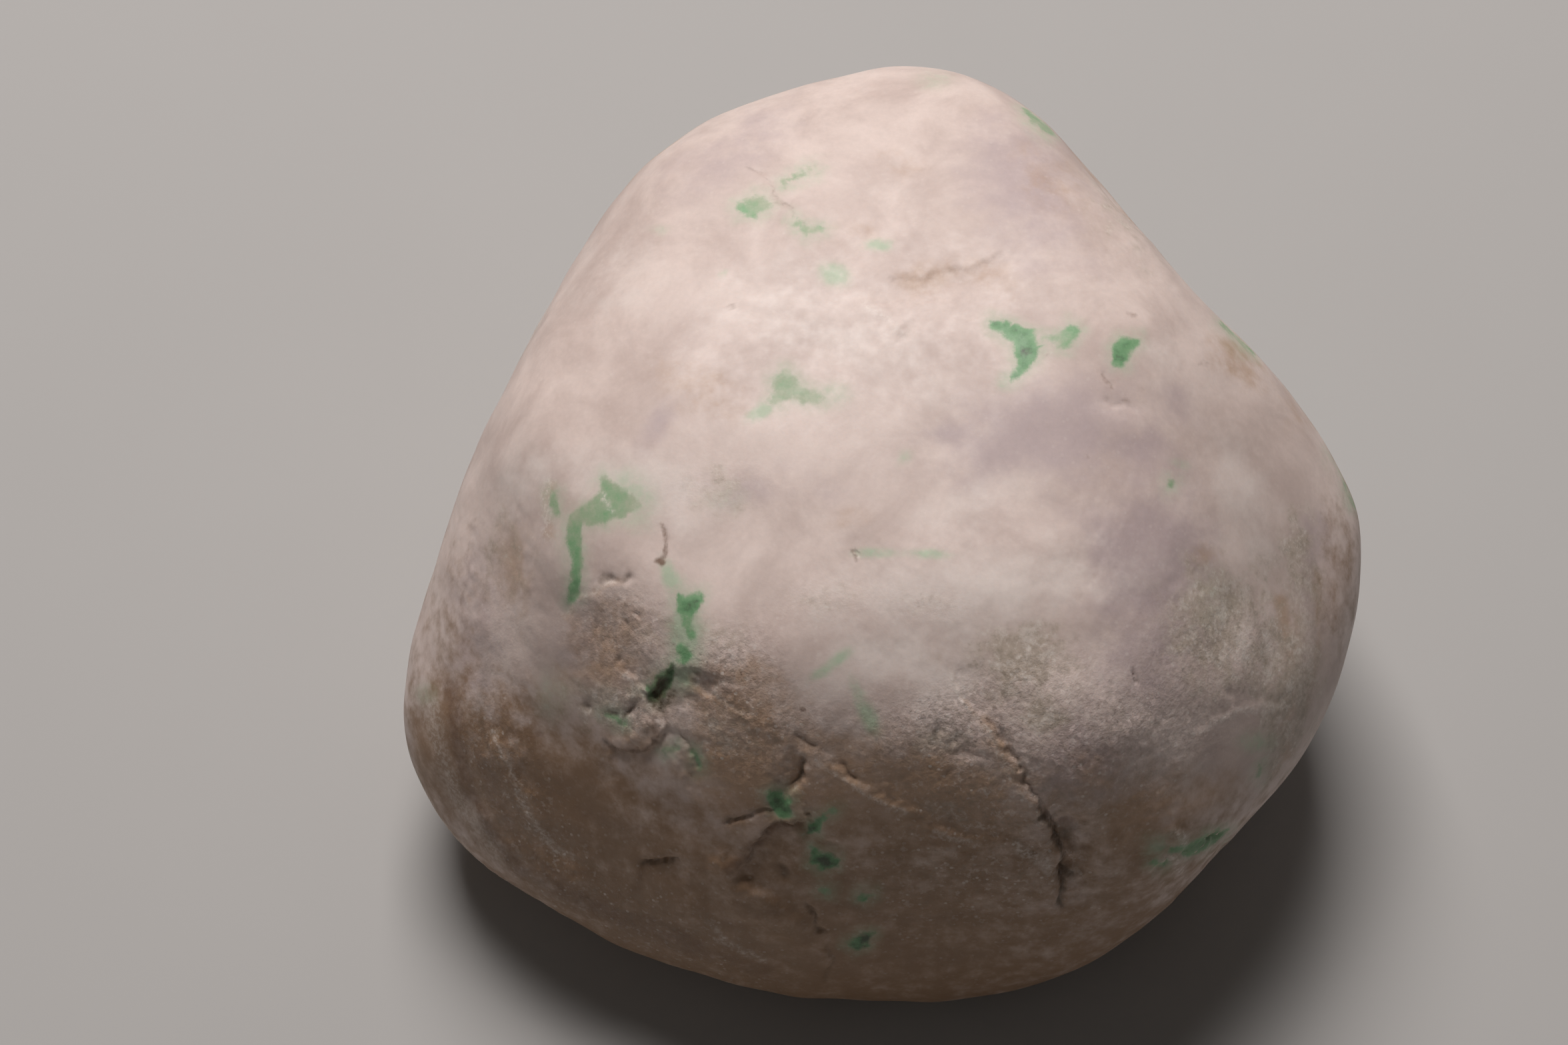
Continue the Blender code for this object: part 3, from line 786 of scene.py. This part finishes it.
TAN_CASTS = (
    ((-41, 34), (15, 7), -20, 0.4),
    ((-6, 70), (10, 5), 0, 0.25),
    ((4, 86), (8, 5), 0, 0.3),
    ((94, -26), (2.6, 12), -6, 0.6),
    ((74, -4), (4, 3), 0, 0.5),
    ((78, -58), (10, 4), 30, 0.3),
    ((-85, -6), (5, 12), 0, 0.6),
    ((-103, -50), (6, 12), 0, 0.8),
    ((81, 41), (8, 5), -45, 0.6),
    ((56, -67), (9, 9), 0, 0.6),
    ((-8, 5), (9, 4), 0, 0.3),
    ((13.5, -27.5), (5, 4), 0, 0.3),
    ((28, -50), (3, 9), 28, 0.6),
    ((-55, -46), (7, 4), 0, 0.5),
    ((-61, -23), (12, 12), 0, 0.5),
    ((-64, -32), (7, 5), 0, 0.5),
    # Darker brown here, partly painted shade below the ledges.
    ((-34, -54), (13, 7.5), 150, 0.75),
    ((-32, -42), (15, 9), 150, 0.6),
    ((-28, -33), (12, 6), 160, 0.42),
    ((14, -55), (14, 6), 150, 0.5),
    ((-10, -54), (14, 8), 150, 0.4),
    ((14, -62), (24, 9), 155, 0.68),
    ((46, -54), (10, 8), 30, 0.3),
    ((28, -30), (5, 4), 0, 0.3),
    ((-50, -88), (46, 24), -25, 0.72),
    ((4, -94), (66, 32), 0, 0.8),
    ((-8, -66), (30, 16), 0, 0.5),
    ((-78, -60), (28, 20), -40, 0.75),
    ((62, -66), (20, 14), 40, 0.5),
    ((30, 58), (8, 5), 0, 0.3),
    ((38, 82), (14, 9), -50, 0.3),
    ((12, 60), (12, 4), 12, 0.5),
    ((96, 30), (8, 8), 0, 0.3),
)
# A dark brown skin toward the foot and round the edges, partly painted shade where the stone turns
# away from the light.
SKIN_AND_SHADE_CASTS = (
    ((-60, -92), (50, 24), -30, 0.68),
    ((10, -106), (66, 32), 0, 0.7),
    ((-102, -40), (9, 34), 0, 0.4),
    ((-92, -46), (13, 12), 0, 0.55),
    ((-94, -8), (8, 18), 0, 0.2),
    ((105, -6), (6, 24), 0, 0.45),
    ((-72, -60), (30, 15), -35, 0.62),
    ((64, -84), (30, 18), 40, 0.5),
    ((0, -76), (56, 14), 0, 0.38),
    ((92, -62), (16, 7), 50, 0.35),
)

EDGE_REACH = 1.5  # the blend across a mark's outline, either side of it
STROKE_REACH = 0.4  # the same for a stroke of no width, in millimetres
STROKE_BLEND = 0.4  # what a stroke's half width adds to that, as a share of it
FAR_OUTSIDE = -6.0  # at this depth and beyond, a green mark's tone counts least
LEAST_WEIGHT = 1e-6  # what the tones start from, so that their mean is never 0 / 0
RIM_TONE = 0.72  # a mark's tone at its outline, as a share of its full tone
DEEPENING = 1.8  # how far inside its outline a mark reaches its full tone
HALO_REACH = 2.8  # how far green seeps out of a mark as mint
HALO_STRENGTH = 0.4
PAINTED_SHADE_DEPTH = 1.5  # pits and cracks this deep are fully darkened with painted shade
SHOWN_FACING = 0.12  # the face map counts in full where the surface faces its eye this much

# ---- markings on the sides and back, which follow the same habits ----

HIDDEN_SEED = 11
# Green seams: waypoints as bearing and lift, how many marks lie along each, and their tone.
HIDDEN_SEAMS = (
    (((-146, 10), (-160, -15), (172, -30), (150, -48), (120, -60)), 9, 0.6),
    (((-60, -8), (-70, -30), (-92, -48), (-120, -62)), 7, 0.75),
    (((44, -8), (30, -28), (6, -40), (-20, -46)), 6, 0.5),
)
SEAM_SCATTER = 5.0  # how far a mark strays from its seam
SEAM_TURN = 12.0  # how far its heading strays
SEAM_SPREADS = ((3.0, 9.0), (1.2, 3.2), (-0.2, 0.2))  # of its half sizes and its tone
SEAM_END = 1.001  # keeps the marks this many waypoints short of a seam's count of them
LONE_MARKS = 16  # marks that lie on no seam
LONE_BACKWARD = (0.0, 0.0, 0.6)  # how far they are drawn toward the back
LONE_SPREADS = ((1.5, 4.0), (0.8, 2.0), (0.25, 0.8))
MARK_WAVES = ((9.0, 1.6, 60), (3.5, 0.6, 70))  # wavelength, reach and seed of their ragged edges
MARK_LIMIT = 4.0  # half lengths from its middle, beyond which a mark is left out
LEFT_OUT = -9.0  # the depth given to points beyond that
# Patches over the sides and back, by the same five values as a ledge's raggedness.
HIDDEN_PATCHES = {
    "lilac": (60.0, 100, 0.65, 0.35, 0.4),
    "milk": (50.0, 101, 0.65, 0.35, 0.4),
    "moss": (44.0, 102, 0.65, 0.35, 0.4),
    "tan": (56.0, 103, 0.65, 0.35, 0.4),
    "skin_and_shade": (48.0, 105, 0.39, 0.35, 0.4),
    "broken": (44.0, 104, 0.35, 0.0, 1.0),
    "mint": (26.0, 80, 0.7, -1.1, 1.0),
    "rust_and_shade": (40.0, 90, 0.6, 0.0, 1.0),
    "pale": (40.0, 95, 0.5, 0.0, 1.0),
}
# Veins in the rust and pale patches: the wavelength and seed of another field, which is zero
# along each vein, and how near zero the vein ends.
HIDDEN_VEINS = {"rust_and_shade": (24.0, 91, 0.035), "pale": (36.0, 96, 0.03)}
SKIN_AND_SHADE_LOSS = 0.25  # how much of the foot's dark skin and painted shade is lost where it goes on round the sides
TAN_CARRY = 0.7  # how much of the foot's tan goes on round the sides


def inside_patch(places, outline):
    """How far each place lies inside an outline, negative outside it."""
    corners = np.array(outline, dtype=float)
    distance, _along = beside_path(places, np.vstack((corners, corners[:1])))
    inside = np.zeros(len(places), dtype=bool)
    for (u_a, v_a), (u_b, v_b) in zip(corners, np.roll(corners, -1, axis=0)):
        if v_a == v_b:
            continue
        crosses = (v_a > places[:, 1]) != (v_b > places[:, 1])
        reach = u_a + (places[:, 1] - v_a) * (u_b - u_a) / (v_b - v_a)
        inside ^= crosses & (places[:, 0] < reach)
    return np.where(inside, 1.0, -1.0) * np.abs(distance)


def inside_stroke(places, half_width, path):
    """How far each place lies inside a stroke, negative outside it."""
    distance, _along = beside_path(places, path)
    return half_width - np.abs(distance)


def over_edge(depth, reach=EDGE_REACH):
    """0 well outside a mark, 0.5 on its outline and 1 well inside."""
    return np.clip(0.5 + depth / (2.0 * reach), 0.0, 1.0)


def strokes(places, paths):
    """How strongly any of the strokes colours each place."""
    share = np.zeros(len(places))
    for half_width, strength, path in paths:
        reach = STROKE_REACH + STROKE_BLEND * half_width
        cover = over_edge(inside_stroke(places, half_width, path), reach)
        share = np.maximum(share, strength * cover)
    return share


class Greens:
    """Collects green marks: how deep inside one each point lies, its tone and its halo."""

    def __init__(self, count):
        self.cover = np.zeros(count)
        self.tone_sum = np.zeros(count)
        self.weight_sum = np.full(count, LEAST_WEIGHT)
        self.halo = np.zeros(count)

    def add(self, depth, tone, where):
        cover = over_edge(depth) * where
        weight = np.exp(np.clip(depth, FAR_OUTSIDE, 0.0)) * where
        self.cover = np.maximum(self.cover, cover)
        paler = RIM_TONE + (1.0 - RIM_TONE) * smooth_step(depth / DEEPENING)
        self.tone_sum += tone * paler * weight
        self.weight_sum += weight
        seep = np.exp(-((np.clip(-depth, 0.0, None) / HALO_REACH) ** 2))
        self.halo = np.maximum(self.halo, HALO_STRENGTH * seep * where)

    def tone(self):
        return self.tone_sum / self.weight_sum


def hidden_marks():
    """The green marks of the sides and back: centre, heading, half sizes and tone of each."""
    random = np.random.default_rng(HIDDEN_SEED)
    marks = []
    for waypoints, count, tone in HIDDEN_SEAMS:
        corners = np.array([unit_direction(*waypoint) for waypoint in waypoints])
        corners *= worn_radius(corners)[:, None]
        for share in np.sort(random.uniform(0.0, len(corners) - SEAM_END, count)):
            start = int(share)
            step = corners[start + 1] - corners[start]
            centre = corners[start] + (share - start) * step
            centre += random.normal(scale=SEAM_SCATTER, size=3)
            heading = step + random.normal(scale=SEAM_TURN, size=3)
            length, width, change = (random.uniform(*spread) for spread in SEAM_SPREADS)
            marks.append((centre, heading, length, width, tone + change))
    for _index in range(LONE_MARKS):
        centre = random.normal(size=3) - LONE_BACKWARD
        heading = random.normal(size=3)
        marks.append((centre, heading, *(random.uniform(*spread) for spread in LONE_SPREADS)))
    return marks


def mark_hidden_green(greens, points, hidden):
    """Lay the sides' and back's green marks on the points that the broad face doesn't show."""
    shift = np.zeros_like(points)
    for axis in range(3):
        for wavelength, reach, seed in MARK_WAVES:
            shift[:, axis] += reach * swell(points, wavelength, seed + axis)
    for centre, heading, half_length, half_width, tone in hidden_marks():
        out = centre / np.linalg.norm(centre)
        middle = out * worn_radius(out[None, :])[0]
        lengthwise = heading - out * (heading @ out)
        lengthwise /= np.linalg.norm(lengthwise)
        offset = points + shift - middle
        near = np.linalg.norm(offset, axis=1) < MARK_LIMIT * half_length
        across = offset @ np.cross(out, lengthwise) / half_width
        along = offset @ lengthwise / half_length
        depth = (1.0 - np.hypot(along, across)) * half_width
        greens.add(np.where(near, depth, LEFT_OUT), tone, hidden)


def veins(points, name):
    """Thin wandering lines inside hidden patches, where a second random field crosses zero."""
    wavelength, seed, width = HIDDEN_VEINS[name]
    nearness = np.exp(-((swell(points, wavelength, seed) / width) ** 2))
    return patchy(points, *HIDDEN_PATCHES[name]) * nearness


def paint_markings(mesh):
    """Store every point's colours and casts on the mesh, while it is still in face axes."""
    points = vertex_points(mesh)
    normals = vertex_normals(mesh)
    places = on_face_map(points)
    ragged = places + MARK_WANDER * wander(points)
    sight = np.array((0.0, 0.0, SIGHT_DISTANCE)) - points
    facing = (normals * sight).sum(axis=1) / np.linalg.norm(sight, axis=1)
    shown = smooth_step(facing / SHOWN_FACING)
    hidden = 1.0 - shown

    def spots(table, name):
        """One kind of patch, as drawn on the broad face and as it falls on the other sides."""
        return shown * covered(places, table) + hidden * patchy(points, *HIDDEN_PATCHES[name])

    def lines(table, name):
        """One kind of line, in the same way."""
        return np.maximum(shown * strokes(ragged, table), hidden * veins(points, name))

    greens = Greens(len(points))
    for _name, tone, outline in GREEN_PATCHES:
        greens.add(inside_patch(ragged, outline), tone, shown)
    for tone, half_width, path in GREEN_STROKES:
        greens.add(inside_stroke(ragged, half_width, path), tone, shown)
    mark_hidden_green(greens, points, hidden)
    mint = np.clip(np.maximum(spots(MINT_HAZE, "mint"), greens.halo), 0.0, 1.0)
    store(mesh, "markings", greens.cover, greens.tone(), mint)

    # The dark skin toward the foot and edges, partly painted shade.
    skin_and_shade = (1.0 - SKIN_AND_SHADE_LOSS * hidden) * covered(places, SKIN_AND_SHADE_CASTS)
    skin_and_shade += hidden * patchy(points, *HIDDEN_PATCHES["skin_and_shade"])
    milk = spots(MILK_CASTS, "milk") * (1.0 - np.clip(skin_and_shade, 0.0, 1.0))
    store(mesh, "casts", spots(LILAC_CASTS, "lilac"), milk, spots(MOSS_CASTS, "moss"))

    tans = covered(places, TAN_CASTS)
    tan = shown * np.maximum(tans, strokes(ragged, TAN_STROKES))
    tan += hidden * np.maximum(TAN_CARRY * tans, patchy(points, *HIDDEN_PATCHES["tan"]))
    # Painted shade: pits and cracks are darkened by their depth, on the broad face only.
    shade_in_pits = smooth_step(-fine_relief(points) / PAINTED_SHADE_DEPTH)
    painted_shade = shown * np.maximum(shade_in_pits, strokes(ragged, PAINTED_SHADE_STROKES))
    store(mesh, "stains_and_shade", lines(RUST_AND_SHADE_STROKES, "rust_and_shade"), tan, painted_shade)

    broken = spots(ROUGH_PATCHES, "broken")
    store(mesh, "surface", broken, lines(PALE_STROKES, "pale"), skin_and_shade)


def store(mesh, name, red, green, blue):
    """Keep three values per point under one name."""
    values = np.ones((len(red), 4), dtype=np.float32)
    values[:, :3] = np.column_stack((red, green, blue))
    layer = mesh.attributes.new(name, "FLOAT_COLOR", "POINT")
    layer.data.foreach_set("color", values.ravel())


# ---- the jade ----

BASE_DIM = (0.60, 0.475, 0.43)
BASE_PALE = (0.80, 0.665, 0.61)
FLECK_DARK = (0.31, 0.255, 0.19)
# White for flecks of crystal, and for painted glints and painted highlights on ledge lips.
FLECK_AND_HIGHLIGHT_WHITE = (0.86, 0.78, 0.72)
MINT = (0.47, 0.59, 0.42)
# The colour of rust stains, and of painted shade under lips and ledges.
RUST_AND_SHADE_COLOUR = (0.16, 0.075, 0.035)
# The colour of painted shade in hollows, pits and cracks.
PAINTED_SHADE_COLOUR = (0.14, 0.10, 0.06)
# The clouds over the base, from the lowest up: each one's colour, the size of the billows at
# its edge in millimetres, how ragged they make it, and its strength.
CLOUDS = (
    ("lilac", (0.54, 0.43, 0.425), 9.0, 1.0, 1.0),
    ("tan", (0.48, 0.30, 0.18), 5.0, 1.0, 0.85),
    ("moss", (0.56, 0.465, 0.39), 5.0, 1.6, 1.0),
    # The dark brown skin, partly painted shade toward the foot and edges.
    ("skin_and_shade", (0.295, 0.17, 0.09), 5.0, 1.5, 0.85),
    ("milk", (0.82, 0.715, 0.665), 8.0, 1.0, 1.0),
)
# The green inclusions' colours, from the palest tone to the deepest.
GREEN_TONES = (
    (0.0, (0.53, 0.53, 0.40)),
    (0.3, (0.41, 0.47, 0.325)),
    (0.6, (0.22, 0.42, 0.215)),
    (0.8, (0.14, 0.33, 0.15)),
    (1.0, (0.06, 0.095, 0.05)),
)
# Noises: the size of their features in millimetres, their roughness, and where it isn't 4 and
# 0, their detail and warp.
BASE_NOISE = (22.0, 0.6, 5.0, 0.4)
CURD_NOISE = (3.4, 0.7, 5.0, 0.4)
COTTON_NOISE = (1.5, 0.62)
MINT_NOISE = (3.0, 0.65)
FRAY_NOISE = (2.0, 0.7)
MOTTLE_NOISE = (3.2, 0.7)
GRAIN_NOISE = (1.1, 0.7)
GLOSS_NOISE = (3.0, 0.6)
BILLOW_ROUGHNESS = 0.6
GLINT_SIZE = 1.9
FACET_SIZE = 0.9
# Slopes that turn one value into another: where each starts and ends, and where it isn't from
# 0 to 1, what it runs from and to.
BASE_SLOPE = (0.3, 0.7)
BILLOW_SLOPE = (0.0, 0.3)
CLOUD_EDGE = (0.1, 0.85)
CURD_EDGE = (0.5, 0.62)
DARK_EDGE = (0.34, 0.5, 1.0, 0.0)
DARK_IN_FLECKED = (0.0, 0.9, 0.03, 0.4)
WHITE_EDGE = (0.53, 0.68)
WHITE_IN_FLECKED = (0.0, 0.8, 0.06, 0.45)
GLINT_CHOICE = (0.62, 0.7)
GLINT_EDGE = (0.14, 0.26, 1.0, 0.0)
GLINTS_IN_BROKEN = (0.0, 0.8, 0.12, 0.6)
MINT_EDGE = (0.02, 0.42)
GREEN_EDGE = (0.28, 0.68)
PALE_IN_GRAIN = (0.44, 0.6, 0.25, 1.0)
RUST_AND_SHADE_EDGE = (0.15, 0.75)
PAINTED_SHADE_IN_GRAIN = (0.3, 0.62, 0.9, 0.6)
TINGE_IN_GRAIN = (0.3, 0.7, 0.97, 1.02)
GLOSS_SLOPE = (0.3, 0.7, 0.5, 0.64)
TILT_IN_BROKEN = (0.05, 0.9, 0.0, 0.24)
HEIGHT_IN_BROKEN = (0.0, 0.8, 0.12, 2.4)
# How strongly each layer covers, and how far one value counts in another.
CURD_STRENGTH = 0.45
MINT_STRENGTH = 0.8
GREEN_STRENGTH = 0.95
RUST_AND_SHADE_STRENGTH = 0.85
FLECKS_IN_BROKEN = 0.8
GREEN_FRAY = 0.7
GREEN_MOTTLE = 0.8
RUST_AND_SHADE_FRAY = 2.0
FACET_GLOSS = 0.2
REFRACTIVE_INDEX = 1.6
SCATTER_WEIGHT = 0.2  # how much of the light goes a little way into the stone
SCATTER_RADIUS = (1.0, 0.8, 0.65)
SCATTER_DEPTH = 1.4 * MILLIMETRE
BUMP_STRENGTH = 0.4
BUMP_DEPTH = 0.35 * MILLIMETRE


class Paint:
    """A material's nodes, each with its inputs given as values or as other nodes' outputs."""

    def __init__(self, name):
        self.material = bpy.data.materials.new(name)
        self.material.use_nodes = True
        self.tree = self.material.node_tree
        self.shader = self.tree.nodes["Principled BSDF"]
        self.place = self.node("TexCoord").outputs["Object"]
        self.colour = None

    def feed(self, node, inputs):
        """Give a node's inputs, each by its name or number."""
        for name, value in inputs.items():
            socket = node.inputs[name]
            if isinstance(value, bpy.types.NodeSocket):
                self.tree.links.new(value, socket)
            elif isinstance(value, tuple):
                socket.default_value = value + (1.0,) * (len(socket.default_value) - len(value))
            else:
                socket.default_value = value

    def node(self, kind, inputs=None, **settings):
        node = self.tree.nodes.new("ShaderNode" + kind)
        for name, value in settings.items():
            setattr(node, name, value)
        self.feed(node, inputs or {})
        return node

    def maths(self, operation, first, second, clamp=False):
        return self.node("Math", {0: first, 1: second}, operation=operation,
                         use_clamp=clamp).outputs[0]

    def times(self, first, second):
        return self.maths("MULTIPLY", first, second)

    def vectors(self, operation, inputs):
        return self.node("VectorMath", inputs, operation=operation).outputs[0]

    def mix(self, share, first, second, blend="MIX"):
        return self.node("Mix", {"Factor": share, 6: first, 7: second}, data_type="RGBA",
                         blend_type=blend).outputs[2]

    def lay(self, share, colour):
        """Lay a colour over what is there already, as far as its share says."""
        self.colour = self.mix(share, self.colour, colour)

    def step(self, value, low, high, start=0.0, end=1.0):
        """An even slope from start, where the value is low, to end, where it is high."""
        return self.node("MapRange", {"Value": value, "From Min": low, "From Max": high,
                                      "To Min": start, "To Max": end},
                         interpolation_type="SMOOTHSTEP").outputs["Result"]

    def noise(self, size, roughness, detail=4.0, warp=0.0):
        """Cloudy noise whose features are about this many millimetres across."""
        return self.node("TexNoise", {"Vector": self.place, "Scale": 1.0 / (size * MILLIMETRE),
                                      "Detail": detail, "Roughness": roughness,
                                      "Distortion": warp}).outputs["Fac"]

    def ripple(self, height, size, roughness):
        """Noise that runs above and below zero, as many times its own height."""
        return self.times(self.maths("SUBTRACT", self.noise(size, roughness), 0.5), height)

    def cells(self, size):
        """The outputs of cells about this many millimetres across."""
        return self.node("TexVoronoi", {"Vector": self.place,
                                        "Scale": 1.0 / (size * MILLIMETRE)}).outputs

    def stored(self, name):
        """The three values kept on the mesh under this name."""
        attribute = self.node("Attribute", attribute_name=name)
        return self.node("SeparateColor", {0: attribute.outputs["Color"]}).outputs


def cloudy(paint, share, size, raggedness):
    """A cast's share with its edge broken up by billows."""
    billows = paint.ripple(raggedness, size, BILLOW_ROUGHNESS)
    billows = paint.times(billows, paint.step(share, *BILLOW_SLOPE))
    return paint.step(paint.maths("ADD", share, billows), *CLOUD_EDGE)


def green_ramp(paint, tone):
    """The colour of the green inclusions at each tone."""
    ramp = paint.node("ValToRGB", {"Fac": tone})
    elements = ramp.color_ramp.elements
    while len(elements) < len(GREEN_TONES):
        elements.new(1.0)
    for element, (position, green) in zip(elements, GREEN_TONES):
        element.position = position
        element.color = green + (1.0,)
    return ramp.outputs["Color"]


def jade_material():
    """Pinkish-white jadeite with lilac, milky and mossy clouds and green inclusions."""
    paint = Paint("raw_jade")
    step, times, noise = paint.step, paint.times, paint.noise
    cover, tone, mint = paint.stored("markings")
    rust_and_shade, tan, painted_shade = paint.stored("stains_and_shade")
    broken, pale, skin_and_shade = paint.stored("surface")
    casts = dict(zip(("lilac", "milk", "moss"), paint.stored("casts")), tan=tan, skin_and_shade=skin_and_shade)

    base = step(noise(*BASE_NOISE), *BASE_SLOPE)
    paint.colour = paint.mix(base, BASE_DIM, BASE_PALE)
    for name, colour, size, raggedness, strength in CLOUDS:
        casts[name] = cloudy(paint, casts[name], size, raggedness)
        paint.lay(times(casts[name], strength), colour)

    # Curds and flecks of crystal, and painted glints: white dots for sparkle, most of them where
    # the stone is mossy or broken.
    mossy = casts["moss"]
    flecked = paint.maths("MAXIMUM", mossy, times(broken, FLECKS_IN_BROKEN))
    curds = times(step(noise(*CURD_NOISE), *CURD_EDGE), mossy)
    paint.lay(times(curds, CURD_STRENGTH), FLECK_AND_HIGHLIGHT_WHITE)
    cotton = noise(*COTTON_NOISE)
    paint.lay(times(step(cotton, *DARK_EDGE), step(flecked, *DARK_IN_FLECKED)), FLECK_DARK)
    paint.lay(times(step(cotton, *WHITE_EDGE), step(flecked, *WHITE_IN_FLECKED)), FLECK_AND_HIGHLIGHT_WHITE)
    glints = paint.cells(GLINT_SIZE)
    chosen = step(glints["Color"], *GLINT_CHOICE)
    painted_glints = times(step(glints["Distance"], *GLINT_EDGE), chosen)
    paint.lay(times(painted_glints, step(broken, *GLINTS_IN_BROKEN)), FLECK_AND_HIGHLIGHT_WHITE)

    # The green inclusions, frayed at their outlines, and the mint that seeps out of them.
    haze = step(times(mint, noise(*MINT_NOISE)), *MINT_EDGE)
    paint.lay(times(haze, MINT_STRENGTH), MINT)
    fray = paint.ripple(GREEN_FRAY, *FRAY_NOISE)
    inside = step(paint.maths("ADD", cover, fray), *GREEN_EDGE)
    mottle = paint.ripple(GREEN_MOTTLE, *MOTTLE_NOISE)
    greens = green_ramp(paint, paint.maths("ADD", tone, mottle, clamp=True))
    paint.lay(times(inside, GREEN_STRENGTH), greens)

    # Pale veins and painted highlights, rust stains with painted shade, and painted shade in pits
    # and hollows lie over everything else.
    grain = noise(*GRAIN_NOISE)
    # Pale veins, and painted highlights along the lips of ledges.
    paint.lay(times(pale, step(grain, *PALE_IN_GRAIN)), FLECK_AND_HIGHLIGHT_WHITE)
    # Rust stains, and painted shade under lips and ledges, frayed at their edges.
    stain_and_shade = paint.maths("ADD", rust_and_shade, times(times(fray, RUST_AND_SHADE_FRAY), rust_and_shade))
    paint.lay(times(step(stain_and_shade, *RUST_AND_SHADE_EDGE), RUST_AND_SHADE_STRENGTH), RUST_AND_SHADE_COLOUR)
    # Painted shade in hollows, pits and cracks, broken up by grain.
    paint.lay(times(painted_shade, step(grain, *PAINTED_SHADE_IN_GRAIN)), PAINTED_SHADE_COLOUR)
    colour = paint.mix(1.0, paint.colour, step(grain, *TINGE_IN_GRAIN), "MULTIPLY")

    # Small crystal faces sparkle where the surface is broken, and grain pits it.
    facets = paint.cells(FACET_SIZE)["Color"]
    gloss = step(noise(*GLOSS_NOISE), *GLOSS_SLOPE)
    gloss = paint.maths("SUBTRACT", gloss, times(times(facets, broken), FACET_GLOSS))
    tilt = paint.vectors("SUBTRACT", {0: facets, 1: (0.5, 0.5, 0.5)})
    tilt = paint.vectors("SCALE", {0: tilt, "Scale": step(broken, *TILT_IN_BROKEN)})
    tilted = paint.vectors("ADD", {0: paint.node("NewGeometry").outputs["Normal"], 1: tilt})
    bump = paint.node("Bump", {
        "Strength": BUMP_STRENGTH, "Distance": BUMP_DEPTH,
        "Height": times(grain, step(broken, *HEIGHT_IN_BROKEN)),
        "Normal": paint.vectors("NORMALIZE", {0: tilted})})

    paint.feed(paint.shader, {
        "Base Color": colour, "Roughness": gloss, "Normal": bump.outputs[0],
        "IOR": REFRACTIVE_INDEX, "Subsurface Weight": SCATTER_WEIGHT,
        "Subsurface Radius": SCATTER_RADIUS, "Subsurface Scale": SCATTER_DEPTH})
    return paint.material


# ---- floor, light and camera ----

FLOOR_COLOUR = (0.47, 0.46, 0.45)
FLOOR_DIM = (0.4, 0.39, 0.38)
FLOOR_NOISE = (60.0, 0.5, 3.0)
FLOOR_MOTTLE = (0.3, 0.7, 0.0, 0.06)  # the slope by which it turns toward that dimmer colour
FLOOR_ROUGHNESS = 0.75
FLOOR_SIZE = 16.0
WORLD_COLOUR = (1.0, 0.98, 0.96)
WORLD_STRENGTH = 0.05
# Each lamp: the bearing it shines from (degrees from +X toward +Y), its elevation, its
# distance from the stone's centre, its width, its power in watts and its colour.
LAMPS = (
    ("key", 100.0, 58.0, 2.2, 1.0, 48.0, (1.0, 0.955, 0.93)),
    ("fill", -120.0, 50.0, 1.5, 1.2, 0.4, (1.0, 0.88, 0.78)),
)
LENS = 80.0  # millimetres, on a sensor 36 wide
NEAREST_SEEN = 0.01  # metres from the camera
CAMERA_AIM = (-22.5, 3.5)  # the face-map place at the middle of the picture


def to_room(face_vector):
    """Turn a vector in face axes to the room's axes."""
    lean = math.radians(LEAN_DEGREES)
    u, v, w = face_vector
    return Vector((u, v * math.cos(lean) - w * math.sin(lean),
                   v * math.sin(lean) + w * math.cos(lean)))


def aim(thing, target, up):
    """Turn a lamp or camera at its place to look at the target, with its top toward up."""
    back = (thing.location - target).normalized()
    right = up.cross(back).normalized()
    turn = Matrix((right, back.cross(right), back)).transposed()
    thing.rotation_euler = turn.to_euler()


def make_floor():
    """A plain pale floor under the stone."""
    mesh = bpy.data.meshes.new("floor")
    half = FLOOR_SIZE / 2.0
    corners = ((-half, -half, 0.0), (half, -half, 0.0), (half, half, 0.0), (-half, half, 0.0))
    mesh.from_pydata(corners, [], ((0, 1, 2, 3),))
    floor = bpy.data.objects.new("floor", mesh)
    bpy.context.scene.collection.objects.link(floor)
    paint = Paint("floor")
    mottle = paint.step(paint.noise(*FLOOR_NOISE), *FLOOR_MOTTLE)
    paint.feed(paint.shader, {"Base Color": paint.mix(mottle, FLOOR_COLOUR, FLOOR_DIM),
                              "Roughness": FLOOR_ROUGHNESS})
    mesh.materials.append(paint.material)


def make_lights(centre):
    """Soft lamps round the stone, and an even glow from all sides."""
    for name, bearing, elevation, distance, width, power, colour in LAMPS:
        lamp = bpy.data.lights.new(name, "AREA")
        lamp.size = width
        lamp.energy = power
        lamp.color = colour
        holder = bpy.data.objects.new(name, lamp)
        holder.location = centre + distance * Vector(unit_direction(bearing, elevation))
        bpy.context.scene.collection.objects.link(holder)
        aim(holder, centre, Vector((0.0, 0.0, 1.0)))
    world = bpy.data.worlds.new("room")
    world.use_nodes = True
    glow = world.node_tree.nodes["Background"]
    glow.inputs["Color"].default_value = WORLD_COLOUR + (1.0,)
    glow.inputs["Strength"].default_value = WORLD_STRENGTH
    bpy.context.scene.world = world


def make_camera(centre):
    """A camera at the eye of the face map."""
    camera = bpy.data.cameras.new("camera")
    camera.lens = LENS
    camera.clip_start = NEAREST_SEEN
    holder = bpy.data.objects.new("camera", camera)
    holder.location = centre + SIGHT_DISTANCE * MILLIMETRE * to_room((0.0, 0.0, 1.0))
    bpy.context.scene.collection.objects.link(holder)
    target = centre + MILLIMETRE * to_room((*CAMERA_AIM, 0.0))
    aim(holder, target, to_room((0.0, 1.0, 0.0)))
    bpy.context.scene.camera = holder


def main():
    stone, centre = make_boulder()
    stone.data.materials.append(jade_material())
    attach(stone, "root")
    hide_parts("boulder")
    middle = Vector(centre)
    make_floor()
    make_lights(middle)
    make_camera(middle)
    bpy.context.scene.view_settings.view_transform = "Standard"


main()
